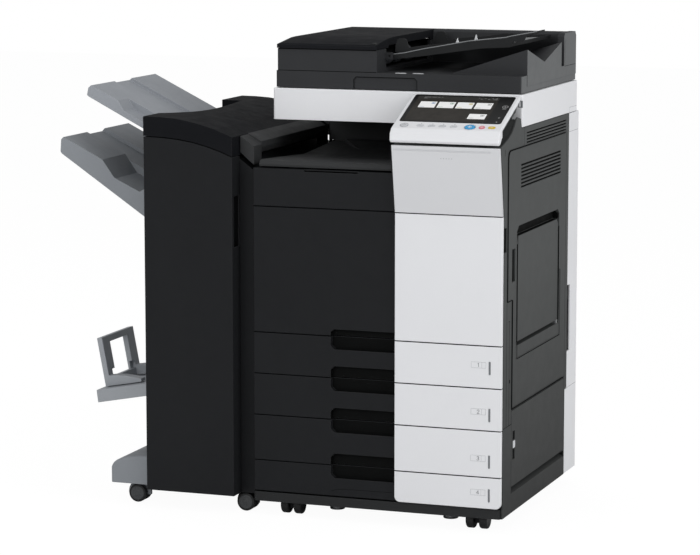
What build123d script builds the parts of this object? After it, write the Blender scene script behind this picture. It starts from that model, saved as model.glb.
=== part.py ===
from build123d import *
import os

# Office photocopier: paper pedestal and engine cabinet, flat-bed scanner with
# document feeder, tilting touch panel, and a floor-standing finisher on the left.
# Working frame: X to the right, Y to the back, Z up; X = 0 is the left side of
# the main cabinet, Y = 0 the front plane of the dark doors, Z = 0 the floor.
# Every part is moved by (-X_MID, -Y_MID, 0) when it is written, so that the
# finished object stands with the middle of its footprint on the origin.
# Outlines are lists of (x, z) seen from the front or (y, z) seen from the right.

# ------------------------------------------------------- shared dimensions
CABINET_W, CABINET_D = 615.0, 633.0
SKIRT_Z = 35.0                  # bottom of the skirt
COVER_TOP_Z = 927.5             # top of the left and rear covers
WALL = 3.0                      # moulded wall thickness
REVEAL = 1.0                    # each panel stops this far from the joint line

SPLIT_X = 355.5                 # joint between dark fronts and light fascias
DARK_X0, DARK_X1 = 3.0, 598.0   # full-width dark fronts
LIGHT_X0, LIGHT_X1 = SPLIT_X + 0.5, CABINET_W - REVEAL
FASCIA_Y = -10.0                # front plane of light fascias
DRAWER_4_Z, DRAWER_3_Z, DRAWER_2_Z, DRAWER_1_Z = 60.0, 134.4, 243.3, 342.1   # bottoms
LOWER_DOOR_Z = 440.5            # top drawer to lower door
UPPER_DOOR_Z = 738.5            # lower door to upper door
DARK_TOP_Z = 828.0              # top of the dark upper door
FASCIA_TOP_Z = 896.5            # top of the light upper fascia

SCAN_Y0, SCAN_Y1 = 139.8, 613.0     # scanner front and back
SCAN_Z0, SCAN_Z1 = 929.5, 1004.0
GLASS_X0, GLASS_X1 = 40.0, 480.0
GLASS_Y0, GLASS_Y1 = 175.0, 485.0
GLASS_Z0 = 1000.0
LID_Z0, LID_Z1 = 1006.0, 1045.0     # flat body of the lid
FEEDER_Z = 1098.0                   # top of the feeder housing

FIN_Y0, FIN_Y1 = -25.0, 598.0       # finisher front and back
FIN_Z0 = 46.0                       # bottom of the finisher body

# Wheels
CASTER_X = (83, 543)
FRONT_CASTER_Y, REAR_CASTER_Y = 50, 560
FIN_CASTER_X = {"left": -314, "right": -32}
FIN_CASTER_Y = (50.0, 560.0)
WHEEL_R = 22.0
FIN_WHEEL_R = 22.3
AXLE_R = 4.0
PIN_CLEAR = 0.05                    # radial clearance of every pin and axle
AXLE_BORE_R = AXLE_R + PIN_CLEAR

# Hinge pins
LID_PIN_Y, LID_PIN_Z, LID_PIN_R = 619.0, 1006.0, 3        # document feeder
LID_HINGE_X = (70, 500)                                   # left side of each clevis
TRAY_PIN_X, TRAY_PIN_Z, TRAY_PIN_R = 268.0, 1081.0, 3     # document tray rod
PANEL_PIN_Y, PANEL_PIN_Z, PANEL_PIN_R = 122.0, 984.0, 2.5
PANEL_ARM_X = (410, 550)                                  # middle of each arm
TOP_PIN_Y, TOP_PIN_Z, TOP_PIN_R = 602.0, 897.0, 2         # finisher top cover
TOP_HINGE_X = (-256, -110)                                # left side of each clevis

# Outer limits of the whole machine, which centre its footprint
X_MIN, X_MAX = -521.0, 628.0
Y_MIN, Y_MAX = -38.83, CABINET_D
X_MID, Y_MID = (X_MIN + X_MAX) / 2, (Y_MIN + Y_MAX) / 2

CUT = Mode.SUBTRACT

os.makedirs("parts", exist_ok=True)


# ----------------------------------------------------------------- helpers
def block(x0, x1, y0, y1, z0, z1, mode=Mode.ADD):
    """Box between two corners, in the open part."""
    with Locations(((x0 + x1) / 2, (y0 + y1) / 2, (z0 + z1) / 2)):
        Box(x1 - x0, y1 - y0, z1 - z0, mode=mode)


def side(x):
    """Sketch plane seen from the right: sketch (y, z), extrudes to +X."""
    return Plane(origin=(x, 0, 0), x_dir=(0, 1, 0), z_dir=(1, 0, 0))


def front(y):
    """Sketch plane seen from the front: sketch (x, z), extrudes to -Y."""
    return Plane(origin=(0, y, 0), x_dir=(1, 0, 0), z_dir=(0, -1, 0))


def prism(plane, points, amount, mode=Mode.ADD):
    """Extruded polygon in the open part."""
    with BuildSketch(plane, mode=Mode.PRIVATE) as outline:
        with BuildLine():
            Polyline(*points, close=True)
        make_face()
    extrude(outline.sketch, amount=amount, mode=mode)


def prism_x(x0, points, width, mode=Mode.ADD):
    """Polygon of (y, z) points, extruded to the right from x0."""
    prism(side(x0), points, width, mode)


def prism_y(y0, points, depth, mode=Mode.ADD):
    """Polygon of (x, z) points, extruded to the back from y0."""
    prism(front(y0), points, -depth, mode)


def disc(plane, u, v, radius, amount, mode=Mode.ADD):
    """Extruded circle in the open part."""
    with BuildSketch(plane, mode=Mode.PRIVATE) as circle:
        with Locations((u, v)):
            Circle(radius)
    extrude(circle.sketch, amount=amount, mode=mode)


def cylinder_x(x0, x1, y, z, radius, mode=Mode.ADD):
    """Round bar along X."""
    disc(side(x0), y, z, radius, x1 - x0, mode)


def cylinder_y(x, y0, y1, z, radius, mode=Mode.ADD):
    """Round bar along Y."""
    disc(front(y0), x, z, radius, y0 - y1, mode)


def cylinder_z(x, y, z0, z1, radius):
    """Upright round bar."""
    disc(Plane.XY.offset(z0), x, y, radius, z1 - z0)


def air_slots(x0, x1, y0, y1, z0, height, pitch, count):
    """Column of equal slots cut at a pitch in Z."""
    for i in range(count):
        z = z0 + pitch * i
        block(x0, x1, y0, y1, z, z + height, CUT)


def round_face(builder, axis, index, radius):
    """Rounds the rim of the first (0) or last (-1) face along an axis."""
    fillet(builder.faces().sort_by(axis)[index].edges(), radius)


def save(builder, name):
    """Writes a finished part in the object's own frame."""
    part = builder.part.moved(Location((-X_MID, -Y_MID, 0)))
    part.label = name
    export_step(part, "parts/" + name + ".step")


# -------------------------------------------------------------- base frame
PLATE_Y0, PLATE_Y1 = 24, 600        # front and back edges of floor and side plates
BAY_X0, BAY_X1 = 10.5, 559.5        # clear width between the side plates
PLATE_Z0 = 58.5                     # foot of the upright plates
DECK_Z = 446.5                      # just above the engine deck
POST_Y0, POST_Y1, POST_TOP_Z = 545, 598, 925
RUNNER_Z = (398, 290, 186, 92)

with BuildPart() as skirt:                                 # front skirt, softened corners
    block(1, 610.5, 0, 20, SKIRT_Z, 57.5)
    fillet(skirt.edges().filter_by(Axis.Z).group_by(Axis.Y)[0], 6)

with BuildPart() as caster_web:                            # housing between twin wheels
    block(-5, 5, REAR_CASTER_Y - 15, REAR_CASTER_Y + 15, 14, 46)
    block(-24, 24, REAR_CASTER_Y - 20, REAR_CASTER_Y + 20, 46, 51.5)
    cylinder_x(-6, 6, REAR_CASTER_Y, WHEEL_R, AXLE_BORE_R, CUT)

with BuildPart() as base_frame:
    block(10, 590, PLATE_Y0, PLATE_Y1, 52, 58)             # floor plate
    block(6, 9.5, PLATE_Y0, PLATE_Y1, PLATE_Z0, 805)       # left side plate
    block(560, 564, PLATE_Y0, PLATE_Y1, PLATE_Z0, 800)     # right side plate
    block(BAY_X0, BAY_X1, PLATE_Y0, PLATE_Y1, DECK_Z - 4.5, DECK_Z - 0.5)   # engine deck
    block(BAY_X0, 592, 600.5, 604, PLATE_Z0, POST_TOP_Z)   # rear plate
    block(BAY_X0, BAY_X1, 530, 533, DECK_Z, 800)           # engine rear wall
    block(6, 60, POST_Y0, POST_Y1, 806, POST_TOP_Z)        # left scanner post
    block(564.5, 596, POST_Y0, POST_Y1, PLATE_Z0, POST_TOP_Z)   # right rear post
    block(358, 597, 20.8, 23.3, 748, 893)                  # column plate
    block(BAY_X0, BAY_X1, PLATE_Y0, 526, 801, 804)         # top deck
    block(62, 560, 552, 590, 880, POST_TOP_Z)              # scanner cross beam
    for z in RUNNER_Z:                                     # drawer runners
        block(BAY_X0, 19, 40, 590, z, z + 12)
        block(549, BAY_X1, 40, 590, z, z + 12)
    add(skirt.part)
    for x in CASTER_X:
        add(caster_web.part.moved(Location((x, 0, 0))))
save(base_frame, "base_frame")

# -------------------------------------------------------------- left cover
COVER_Y0, COVER_Y1 = 24, 612
COVER_STEP_Y, COVER_STEP_Z = 522, 812                      # step below the scanner

with BuildPart() as left_cover:
    prism_x(0, [(COVER_Y0, SKIRT_Z + 1), (COVER_Y1, SKIRT_Z + 1), (COVER_Y1, COVER_TOP_Z),
                (COVER_STEP_Y, COVER_TOP_Z), (COVER_STEP_Y, COVER_STEP_Z),
                (COVER_Y0, COVER_STEP_Z)], WALL)
    block(WALL, 6, COVER_Y0, COVER_Y0 + WALL, 60, 800)     # front return
    air_slots(-1, 4, 430, 500, 640, 5, 12, 8)
    air_slots(-1, 4, 540, 596, 830, 5, 12, 6)
save(left_cover, "left_cover")


# ------------------------------------------------------------- right cover
def side_door_slab(x0, width, gap, mode=Mode.ADD):
    """Side door outline with a notched lower front corner, grown all round by gap."""
    y0, y_front, y1 = 68 - gap, 28 - gap, 519 + gap
    z0, z_notch, z1 = 282.5 - gap, 538 - gap, 884 + gap
    with BuildSketch(side(x0), mode=Mode.PRIVATE) as outline:
        with BuildLine():
            Polyline((y0, z0), (y0, z_notch), (y_front, z_notch), (y_front, 868))
            RadiusArc((y_front, 868), (44, z1), 16 + gap)
            Polyline((44, z1), (y1, z1), (y1, z0), (y0, z0))
        make_face()
    extrude(outline.sketch, amount=width, mode=mode)


SIDE_X = 611                        # inner plane of the right cover
SIDE_DOOR_GAP = 1.5
LOW_SIDE_Y0, LOW_SIDE_Y1 = 68.5, 519.5                     # lower door opening
RIGHT_COVER_OUTLINE = [             # (y, z)
    (2, SKIRT_Z + 1), (2, 736), (-1, 742), (-27, 896), (-22, 900), (-5, 904), (23, 911),
    (56, 923), (81, 940), (92, 953), (100, 956), (127, 951), (132, 934), (137, 928),
    (541, 928), (541, 252), (525, 248), (525, SKIRT_Z + 1)]
PANEL_SHELF_OUTLINE = [             # (y, z), thin shelf rising to the scanner
    (-20, 898.5), (4, 901), (24, 907), (55, 919), (79, 935), (91, 948), (100, 951),
    (136, 946), (136, 942), (101, 946.5), (94, 944), (82, 931), (57, 915), (25, 903),
    (5, 897.5), (-20, 895.5)]
BASE_RAIL_OUTLINE = [               # (x, z), with an inward-sloping ledge
    (SIDE_X, 36), (615, 36), (615, 82), (593, 95), (589, 95), (589, 91), (SIDE_X, 79)]

with BuildPart() as right_cover:
    prism_x(SIDE_X, RIGHT_COVER_OUTLINE, CABINET_W - SIDE_X)
    block(601, SIDE_X, 4, 8, 60, 735)                      # front return
    block(598, SIDE_X, 10, 44, 440, 444)
    prism_x(357, PANEL_SHELF_OUTLINE, 254.5)
    for x in PANEL_ARM_X:                                  # panel arms with pivot eyes
        block(x - 10, x + 10, PANEL_PIN_Y - 4, PANEL_PIN_Y + 4, 942, PANEL_PIN_Z)
        cylinder_x(x - 10, x + 10, PANEL_PIN_Y, PANEL_PIN_Z, 4.4)
        cylinder_x(x - 11, x + 11, PANEL_PIN_Y, PANEL_PIN_Z, PANEL_PIN_R + PIN_CLEAR, CUT)
    side_door_slab(600, 20, SIDE_DOOR_GAP, CUT)            # side door opening
    block(600, 620, LOW_SIDE_Y0, LOW_SIDE_Y1, 82, 279.5, CUT)
    air_slots(600, 620, 176, 516, 911.5, 3.5, -7.4, 4)
    block(600, 620, 1, 22, 655, 711, CUT)                  # finger recess
    prism_y(LOW_SIDE_Y0, BASE_RAIL_OUTLINE, 455.5)
save(right_cover, "right_cover")

# -------------------------------------------------------------- rear cover
REAR_Z0 = SKIRT_Z + 2
REAR_Y0 = 614                       # front edge on the left side
REAR_WALL_Y = CABINET_D - 3.5       # inner plane of the back

with BuildPart() as rear_cover:
    with BuildSketch(Plane.XY.offset(REAR_Z0)) as u_shape:
        with BuildLine():
            Polyline((0, REAR_Y0), (0, CABINET_D), (CABINET_W, CABINET_D), (CABINET_W, 543),
                     (SIDE_X, 543), (SIDE_X, REAR_WALL_Y), (3.5, REAR_WALL_Y),
                     (3.5, REAR_Y0), close=True)
        make_face()
        fillet(u_shape.vertices().sort_by(Axis.Y)[-2:], 6)
    extrude(amount=COVER_TOP_Z - REAR_Z0)
    block(610, 616, 542, 566, 341, 505, CUT)               # hinge slot of the side door
    block(SIDE_X, CABINET_W, 527, 543.5, REAR_Z0, 247)     # forward step at the bottom
    for x in (60, 360):                                    # air slots in the back
        air_slots(x, x + 200, 628, 634, 560, 6, 14, 12)
    block(270, 345, 628, 634, 160, 215, CUT)               # mains inlet opening
    block(272, 343, 620, REAR_WALL_Y, 150, 158)
save(rear_cover, "rear_cover")

# ------------------------------------------------------------- output tray
OUT_X0, OUT_X1 = 17, 352            # tray floor, left and right
OUT_WALL_X1 = SPLIT_X - 1           # outer face of the wall against the column
OUT_BACK_Y0, OUT_BACK_Y1 = 515, 518
OUT_TOP_Z = 925
OUTPUT_TRAY_OUTLINE = [             # (y, z), sagging floor and upright back
    (6, 832), (4, 838), (8, 845), (20, 847), (120, 842), (300, 832), (OUT_BACK_Y0, 845),
    (OUT_BACK_Y0, OUT_TOP_Z), (OUT_BACK_Y1, OUT_TOP_Z), (OUT_BACK_Y1, 828), (300, 826),
    (120, 836), (22, 842), (12, 832)]

with BuildPart() as output_tray:
    prism_x(OUT_X0, OUTPUT_TRAY_OUTLINE, OUT_X1 - OUT_X0)
    block(OUT_X1, OUT_WALL_X1, 8, OUT_BACK_Y1, 832, 898)   # wall against the column
    block(OUT_X1, OUT_WALL_X1, 142, OUT_BACK_Y1, 897, OUT_TOP_Z)
    block(4.5, 18, OUT_BACK_Y0, OUT_BACK_Y1, 846, OUT_TOP_Z)   # back wall, left end
    prism(Plane.XY.offset(829), [(56, 482), (130, 386), (353, 386), (353, 482)], 24)
    # slope the top of that raised ridge
    prism_x(40, [(380, 836), (483, 853.5), (483, 870), (380, 870)], 320, CUT)
    block(OUT_X1, OUT_WALL_X1, 380, OUT_BACK_Y1, 832, OUT_TOP_Z)   # close walls the cut opened
    block(OUT_X0, OUT_X1, OUT_BACK_Y0, OUT_BACK_Y1, 846, OUT_TOP_Z)
save(output_tray, "output_tray")

# ---------------------------------------------------------- levelling feet
with BuildPart() as adjuster:
    cylinder_z(0, 0, 0, 8, 18)                             # pad
    cylinder_z(0, 0, 8, 12, 11)                            # collar
    cylinder_z(0, 0, 12, 51.5, 5)                          # stem
    chamfer(adjuster.edges().group_by(Axis.Z)[0], 1)

with BuildPart() as leveling_feet:
    for y in (130, 500):
        for x in (165, 450):
            add(adjuster.part.moved(Location((x, y, 0))))
save(leveling_feet, "leveling_feet")

# ----------------------------------------------------- scanner case, glass
GLASS_FIT = 0.5                     # gap around the glass in its seat
WINDOW_LIP = 6                      # ledge that carries the glass

with BuildPart() as scanner_case:
    block(0, CABINET_W, SCAN_Y0, SCAN_Y1, SCAN_Z0, SCAN_Z1)
    fillet(scanner_case.edges().filter_by(Axis.Z), 5)
    round_face(scanner_case, Axis.Z, -1, 2.5)
    block(WALL, CABINET_W - WALL, SCAN_Y0 + WALL, SCAN_Y1 - WALL, SCAN_Z0 + WALL, 996, CUT)
    block(GLASS_X0 - GLASS_FIT, GLASS_X1 + GLASS_FIT, GLASS_Y0 - GLASS_FIT,
          GLASS_Y1 + GLASS_FIT, GLASS_Z0, 1006, CUT)       # glass seat
    block(GLASS_X0 + WINDOW_LIP, GLASS_X1 - WINDOW_LIP, GLASS_Y0 + WINDOW_LIP,
          GLASS_Y1 - WINDOW_LIP, 994, 1006, CUT)           # scan window
    block(12, 30, GLASS_Y0 + WINDOW_LIP, GLASS_Y1 - WINDOW_LIP, 994, 1006, CUT)  # feed strip
    for x in LID_HINGE_X:                                  # hinge clevises at the back
        for cheek in (x, x + 38):
            block(cheek, cheek + 10, 611, 624.5, 955, LID_PIN_Z)
            cylinder_x(cheek, cheek + 10, LID_PIN_Y, LID_PIN_Z, 5.5)
        block(x, x + 48, 611, 616, 955, 985)
        cylinder_x(x + 5, x + 43, LID_PIN_Y, LID_PIN_Z, LID_PIN_R)
save(scanner_case, "scanner_case")

with BuildPart() as platen_glass:
    block(GLASS_X0, GLASS_X1, GLASS_Y0, GLASS_Y1, GLASS_Z0, SCAN_Z1)
save(platen_glass, "platen_glass")

# ----------------------------------------------------------- scan carriage
CARRIAGE_TOP_Z = 966

with BuildPart() as scan_carriage:
    block(56, 96, 160, 590, 944, CARRIAGE_TOP_Z)
    block(60, 74, 170, 580, CARRIAGE_TOP_Z, 984)           # lamp housing
    block(80, 90, 170, 580, CARRIAGE_TOP_Z, 978)           # mirror holder
save(scan_carriage, "scan_carriage")

# ----------------------------------------------------------- lid and pad
LID_BACK_Y = 606                    # back of the feeder housing and back wall
LID_WALL_Y = 560                    # front of the back wall
PAD_X0, PAD_X1, PAD_Y0, PAD_Y1, PAD_TOP_Z = 42, 478, 174, 486, 1008.5
HOUSING_FLOOR_Z = 1052

with BuildPart() as lid_body:
    block(5, 611, 145, 611, LID_Z0, LID_Z1)
    fillet(lid_body.edges().filter_by(Axis.Z), 5)
    # feeder housing on the left
    block(9, 257, 147, LID_BACK_Y, LID_Z1, FEEDER_Z - 0.5)
    block(18, 250, 156, 597, HOUSING_FLOOR_Z, FEEDER_Z, CUT)
    block(250, 258, 215, 545, HOUSING_FLOOR_Z, FEEDER_Z, CUT)   # document entry
    # back wall and right rear pillar
    block(257, 604, LID_WALL_Y, LID_BACK_Y, LID_Z1, FEEDER_Z)
    prism_x(596, [(500, LID_Z1), (500, 1116), (507, 1124), (600, 1124), (608, 1114),
                  (608, LID_Z1)], 16)
    prism_x(259.5, [(LID_WALL_Y, 1097), (562, 1118), (568, 1123), (600, 1123),
                    (LID_BACK_Y, 1117), (LID_BACK_Y, 1097)], 343)
    # document exit ramp, rising to the right with a V-shaped valley
    with BuildSketch(side(430)):
        with BuildLine():
            Polyline((186, 1044), (186, 1046), (329, 1045.5), (478, 1046), (478, 1044),
                     close=True)
        make_face()
    with BuildSketch(side(612)):
        with BuildLine():
            Polyline((186, 1044), (186, 1105), (329, 1067.5), (478, 1105), (478, 1044),
                     close=True)
        make_face()
    loft()
    block(606, 612, 186, 608, 1020, 1046)
    # handle recess in the front edge, and pad pocket below
    prism_y(148, [(201, 1000), (201, 1028), (206, 1034), (350, 1034), (356, 1028),
                  (356, 1000)], -4, CUT)
    block(PAD_X0 - 2, PAD_X1 + 2, PAD_Y0 - 2, PAD_Y1 + 2, 1005, PAD_TOP_Z, CUT)
    for clevis_x in LID_HINGE_X:                           # hinge ears at the back
        x = clevis_x + 12
        prism_x(x, [(608, 1010), (608, 1034), (613, 1034), (624, 1010), (619, 1004),
                    (614, 1008)], 24)
        cylinder_x(x, x + 24, LID_PIN_Y, LID_PIN_Z, 5.5)
        cylinder_x(x - 1, x + 25, LID_PIN_Y, LID_PIN_Z, LID_PIN_R + PIN_CLEAR, CUT)
    for y in (206, 547):                                   # lugs for the document tray rod
        block(256, 275, y, y + 7, TRAY_PIN_Z - 8, TRAY_PIN_Z + 8)
        cylinder_y(TRAY_PIN_X, y - 1, y + 8, TRAY_PIN_Z, TRAY_PIN_R + PIN_CLEAR, CUT)
save(lid_body, "lid_body")

with BuildPart() as pressure_pad:
    block(PAD_X0, PAD_X1, PAD_Y0, PAD_Y1, 1004.6, PAD_TOP_Z)
    fillet(pressure_pad.edges().filter_by(Axis.Z), 6)
save(pressure_pad, "pressure_pad")

# ------------------------------------------------------------ feeder cover
FEEDER_COVER_Z = FEEDER_Z + 0.5
SLOPE_Y = 240                       # the left slope is straight behind this line
FEEDER_COVER_OUTLINE = [            # (y, z)
    (141, FEEDER_COVER_Z), (141, 1107), (143, 1110), (170, 1114.5), (200, 1118.5),
    (235, 1121.5), (270, 1122.8), (602, 1122.8), (606, 1119), (606, FEEDER_COVER_Z)]
LEFT_SLOPE = [                      # (x, z) of the material above the left end
    (6, 1117.4), (7, 1117.4), (20, 1120.6), (34, 1122.9), (34, 1130), (6, 1130)]
LEFT_SLOPE_FRONT = [                # the same at the front edge
    (6, 1106.8), (7, 1106.8), (12, 1107.9), (18, 1109), (18, 1130), (6, 1130)]

with BuildPart() as feeder_cover:
    prism_x(7, FEEDER_COVER_OUTLINE, 251)
    prism_y(SLOPE_Y, LEFT_SLOPE, 370, CUT)
    with BuildSketch(front(SLOPE_Y)):                      # slope running out to the front
        with BuildLine():
            Polyline(*LEFT_SLOPE, close=True)
        make_face()
    with BuildSketch(front(142)):
        with BuildLine():
            Polyline(*LEFT_SLOPE_FRONT, close=True)
        make_face()
    loft(mode=CUT)
    fillet(feeder_cover.edges().filter_by(Axis.Z).group_by(Axis.Y)[0], 7)
    hinge_edge = feeder_cover.edges().filter_by(Axis.Y).group_by(Axis.Z)[0].sort_by(Axis.X)[0]
    fillet(hinge_edge, 0.9)                                # rolling hinge edge
    block(16, 250, 152, 597, FEEDER_Z, 1104, CUT)
    block(246, 260, 228, 545, FEEDER_Z, 1104, CUT)         # entry gap
save(feeder_cover, "feeder_cover")

# ----------------------------------------------- document tray and guides
TRAY_Y0, TRAY_D = 215, 330          # front edge of the tray and depth of its floor
TRAY_FLOOR = [                      # all tray outlines are (x, z)
    (266, 1077.5), (300, 1080.5), (353, 1087.5), (493, 1108), (558, 1112), (565, 1114),
    (565, 1109), (558, 1107), (493, 1103), (353, 1082.5), (300, 1075.5), (266, 1073)]
TRAY_FRONT_RIM = [
    (262, 1084.5), (300, 1089.5), (353, 1101), (400, 1109.5), (460, 1121), (552, 1131.5),
    (560, 1134), (627, 1147), (628, 1143.5), (600, 1134), (594, 1122), (570, 1120),
    (561, 1107), (493, 1103), (353, 1082.5), (300, 1075.5), (266, 1073), (262, 1078)]
TRAY_END_TAB = [
    (552, 1128), (560, 1131), (627, 1147), (628, 1143.5), (600, 1134), (560, 1124)]
TRAY_REAR_RIM = [
    (266, 1082), (353, 1093), (493, 1113.5), (565, 1119), (565, 1109), (493, 1103),
    (353, 1082.5), (266, 1073)]
TRAY_END_BAR = [(558, 1107), (558, 1116), (565, 1118), (565, 1109)]
GUIDE_OUTLINE = [
    (274, 1089.5), (275, 1104), (279, 1117), (283, 1120.5), (298, 1121), (302, 1118),
    (308, 1100), (352, 1107), (410, 1112), (460, 1120), (478, 1120), (480, 1112.5),
    (480, 1108.5), (353, 1090), (300, 1083.5)]

with BuildPart() as document_tray:
    prism_y(TRAY_Y0, TRAY_FLOOR, TRAY_D)
    prism_y(TRAY_Y0, TRAY_FRONT_RIM, 5)
    prism_y(TRAY_Y0, TRAY_END_TAB, 60)
    prism_y(541, TRAY_REAR_RIM, 4)
    prism_y(TRAY_Y0, TRAY_END_BAR, TRAY_D)
    block(344, 361, 227, 348, 1060, 1130, CUT)             # guide slots
    block(344, 361, 412, 534, 1060, 1130, CUT)
    cylinder_y(TRAY_PIN_X, 208, 552, TRAY_PIN_Z, TRAY_PIN_R)
save(document_tray, "document_tray")

for name, y in (("guide_front", 229), ("guide_rear", 526)):
    with BuildPart() as guide:
        prism_y(y, GUIDE_OUTLINE, 5)
        block(345, 360, y + 1, y + 4, 1081, 1100)          # stem through the slot
    save(guide, name)

# ------------------------------------------- control panel, screen, keys
# Top surface of the panel: local (x, minus the distance down the slope)
PANEL = Plane(origin=(0, 130, 1000.4), x_dir=(1, 0, 0), z_dir=(0, -0.38042, 0.92481))
PANEL_OUTLINE = [                   # (y, z)
    (131, 1000.8), (-28, 935.2), (-37.5, 923), (-39, 908), (-34, 902.6), (-26, 905),
    (-17, 916), (122, 965), (132, 980), (134, 996)]
SCREEN_CENTER = (482, -69.5)
SCREEN_W, SCREEN_H, SCREEN_CORNER = 242, 135, 6
SCREEN_GAP = 0.3
SCREEN_BASE, SCREEN_T = -2.1, 2.3   # underside below the surface, thickness
KEY_ROW = -155.5
KEY_BASE = -2.0                     # underside of the keys below the surface
SMALL_KEY = (RectangleRounded, (16, 9, 3), (16.6, 9.6, 3.3), 3.0)
KEYS = {                            # name: x, local y, shape, key size, well size, height
    "energy_key": (379.5, KEY_ROW, Circle, (8,), (8.3,), 3.0),
    "key_1": (418, KEY_ROW, *SMALL_KEY),
    "key_2": (445, KEY_ROW, *SMALL_KEY),
    "key_3": (470.6, KEY_ROW, *SMALL_KEY),
    "key_4": (497.5, KEY_ROW, *SMALL_KEY),
    "start_key": (536.5, -156.5, Ellipse, (12.5, 10), (12.8, 10.3), 3.4),
    "stop_key": (564.7, -156, Circle, (7,), (7.3,), 3.2),
    "reset_key": (588, KEY_ROW, RectangleRounded, (17, 10, 4.8), (17.6, 10.6, 5), 3.2),
}

with BuildPart() as panel_case:
    prism_x(352, PANEL_OUTLINE, 261)
    fillet(panel_case.edges().filter_by(Axis.X).group_by(Axis.Y)[0], 4)
    round_face(panel_case, Axis.X, 0, 3)
    round_face(panel_case, Axis.X, -1, 3)
    # recess in the right end, under the top shell
    prism_x(604, [(-13, 934.4), (141, 997.9), (141, 930), (-13, 895)], 12, CUT)
    with BuildSketch(PANEL):                               # screen seat
        with Locations(SCREEN_CENTER):
            RectangleRounded(SCREEN_W + 2 * SCREEN_GAP, SCREEN_H + 2 * SCREEN_GAP,
                             SCREEN_CORNER + SCREEN_GAP)
    extrude(amount=-2.2, mode=CUT)
    with BuildSketch(PANEL):                               # key wells
        for key_x, key_y, shape, _, well_size, _ in KEYS.values():
            with Locations((key_x, key_y)):
                shape(*well_size)
    extrude(amount=-3.4, mode=CUT)
    for x in PANEL_ARM_X:                                  # pivot slots and pins
        block(x - 13, x + 13, 112, 140, 940, 989, CUT)
        cylinder_x(x - 15, x + 15, PANEL_PIN_Y, PANEL_PIN_Z, PANEL_PIN_R)
save(panel_case, "panel_case")

with BuildPart() as touch_screen:
    with BuildSketch(PANEL.offset(SCREEN_BASE)):
        with Locations(SCREEN_CENTER):
            RectangleRounded(SCREEN_W, SCREEN_H, SCREEN_CORNER)
    extrude(amount=SCREEN_T)
save(touch_screen, "touch_screen")

for name, (key_x, key_y, shape, key_size, _, height) in KEYS.items():
    with BuildPart() as key:
        with BuildSketch(PANEL.offset(KEY_BASE)):
            with Locations((key_x, key_y)):
                shape(*key_size)
        extrude(amount=height)
        round_face(key, Axis.Z, -1, 0.8)
    save(key, name)


# ------------------------------------------------------------- front doors
def grip_recess(edge_z, inward, shallow, deep, bend_x=204):
    """Finger recess in a dark front, open at edge_z; inward is +1 up or -1 down."""
    outside = edge_z - 5 * inward
    bottom = edge_z + deep * inward
    prism_y(-1, [(195, outside), (195, edge_z + shallow * inward), (bend_x, bottom),
                 (SPLIT_X, bottom), (SPLIT_X, outside)], 14, CUT)


UPPER_Z0 = UPPER_DOOR_Z + REVEAL
UPPER_IN_Z0 = UPPER_Z0 + WALL
LOWER_Z0, LOWER_Z1 = LOWER_DOOR_Z + REVEAL, UPPER_DOOR_Z - REVEAL
LOWER_IN_Z0, LOWER_IN_Z1 = LOWER_Z0 + WALL, LOWER_Z1 - WALL
POCKET_X = (188, 361)               # solid middle between the rear pockets

with BuildPart() as upper_door:
    block(DARK_X0, SPLIT_X - 1, 0, 20, UPPER_Z0, DARK_TOP_Z)
    round_face(upper_door, Axis.Y, 0, 2)
    block(DARK_X0 + WALL, SPLIT_X - 1 - WALL, WALL, 21, UPPER_IN_Z0, DARK_TOP_Z - WALL, CUT)
    # leaning plate behind the light fascia
    prism_x(350, [(1, UPPER_IN_Z0), (-25, 892), (-22, 892), (4, UPPER_IN_Z0)], 246)
    block(130, 262, -1, 6, DARK_TOP_Z - 5, DARK_TOP_Z + 1, CUT)      # finger notch
save(upper_door, "upper_door")

with BuildPart() as upper_door_fascia:
    prism_x(LIGHT_X0, [(-11, UPPER_Z0), (-38, FASCIA_TOP_Z), (-30, FASCIA_TOP_Z),
                       (-3, UPPER_Z0)], LIGHT_X1 - LIGHT_X0)
    fillet(upper_door_fascia.faces().group_by(SortBy.AREA)[-1].sort_by(Axis.Y)[0].edges(), 2.2)
    prism_x(LIGHT_X0 + WALL, [(-8, UPPER_IN_Z0), (-34.6, 893.5), (-26, 893.5),
                              (0.6, UPPER_IN_Z0)], LIGHT_X1 - LIGHT_X0 - 2 * WALL, CUT)
    # long slot near the top, sketched on the leaning front
    with BuildSketch(Plane(origin=(0, -38, FASCIA_TOP_Z), x_dir=(1, 0, 0),
                           z_dir=(0, -0.9862, -0.1656))):
        with Locations((477, -10)):
            SlotOverall(232, 3.6)
    extrude(amount=1.4, both=True, mode=CUT)
save(upper_door_fascia, "upper_door_fascia")

with BuildPart() as lower_door:
    block(DARK_X0, DARK_X1, 0, 22, LOWER_Z0, LOWER_Z1)
    round_face(lower_door, Axis.Y, 0, 2)
    block(DARK_X0 + WALL, POCKET_X[0], WALL, 23, LOWER_IN_Z0, LOWER_IN_Z1, CUT)
    block(POCKET_X[1], DARK_X1 - WALL, WALL, 23, LOWER_IN_Z0, LOWER_IN_Z1, CUT)
    block(*POCKET_X, WALL, 23, LOWER_DOOR_Z + 30, LOWER_IN_Z1, CUT)
    grip_recess(LOWER_DOOR_Z, 1, 10, 17, bend_x=203)
    block(556, 594, 2.5, 18, 520, 560)                     # latch block
save(lower_door, "lower_door")

with BuildPart() as lower_door_fascia:
    block(LIGHT_X0, LIGHT_X1, FASCIA_Y, -0.2, LOWER_Z0, LOWER_Z1)
    round_face(lower_door_fascia, Axis.Y, 0, 2.2)
    block(LIGHT_X0 + WALL, LIGHT_X1 - WALL, FASCIA_Y + WALL, 0, LOWER_IN_Z0, LOWER_IN_Z1, CUT)
save(lower_door_fascia, "lower_door_fascia")

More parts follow.
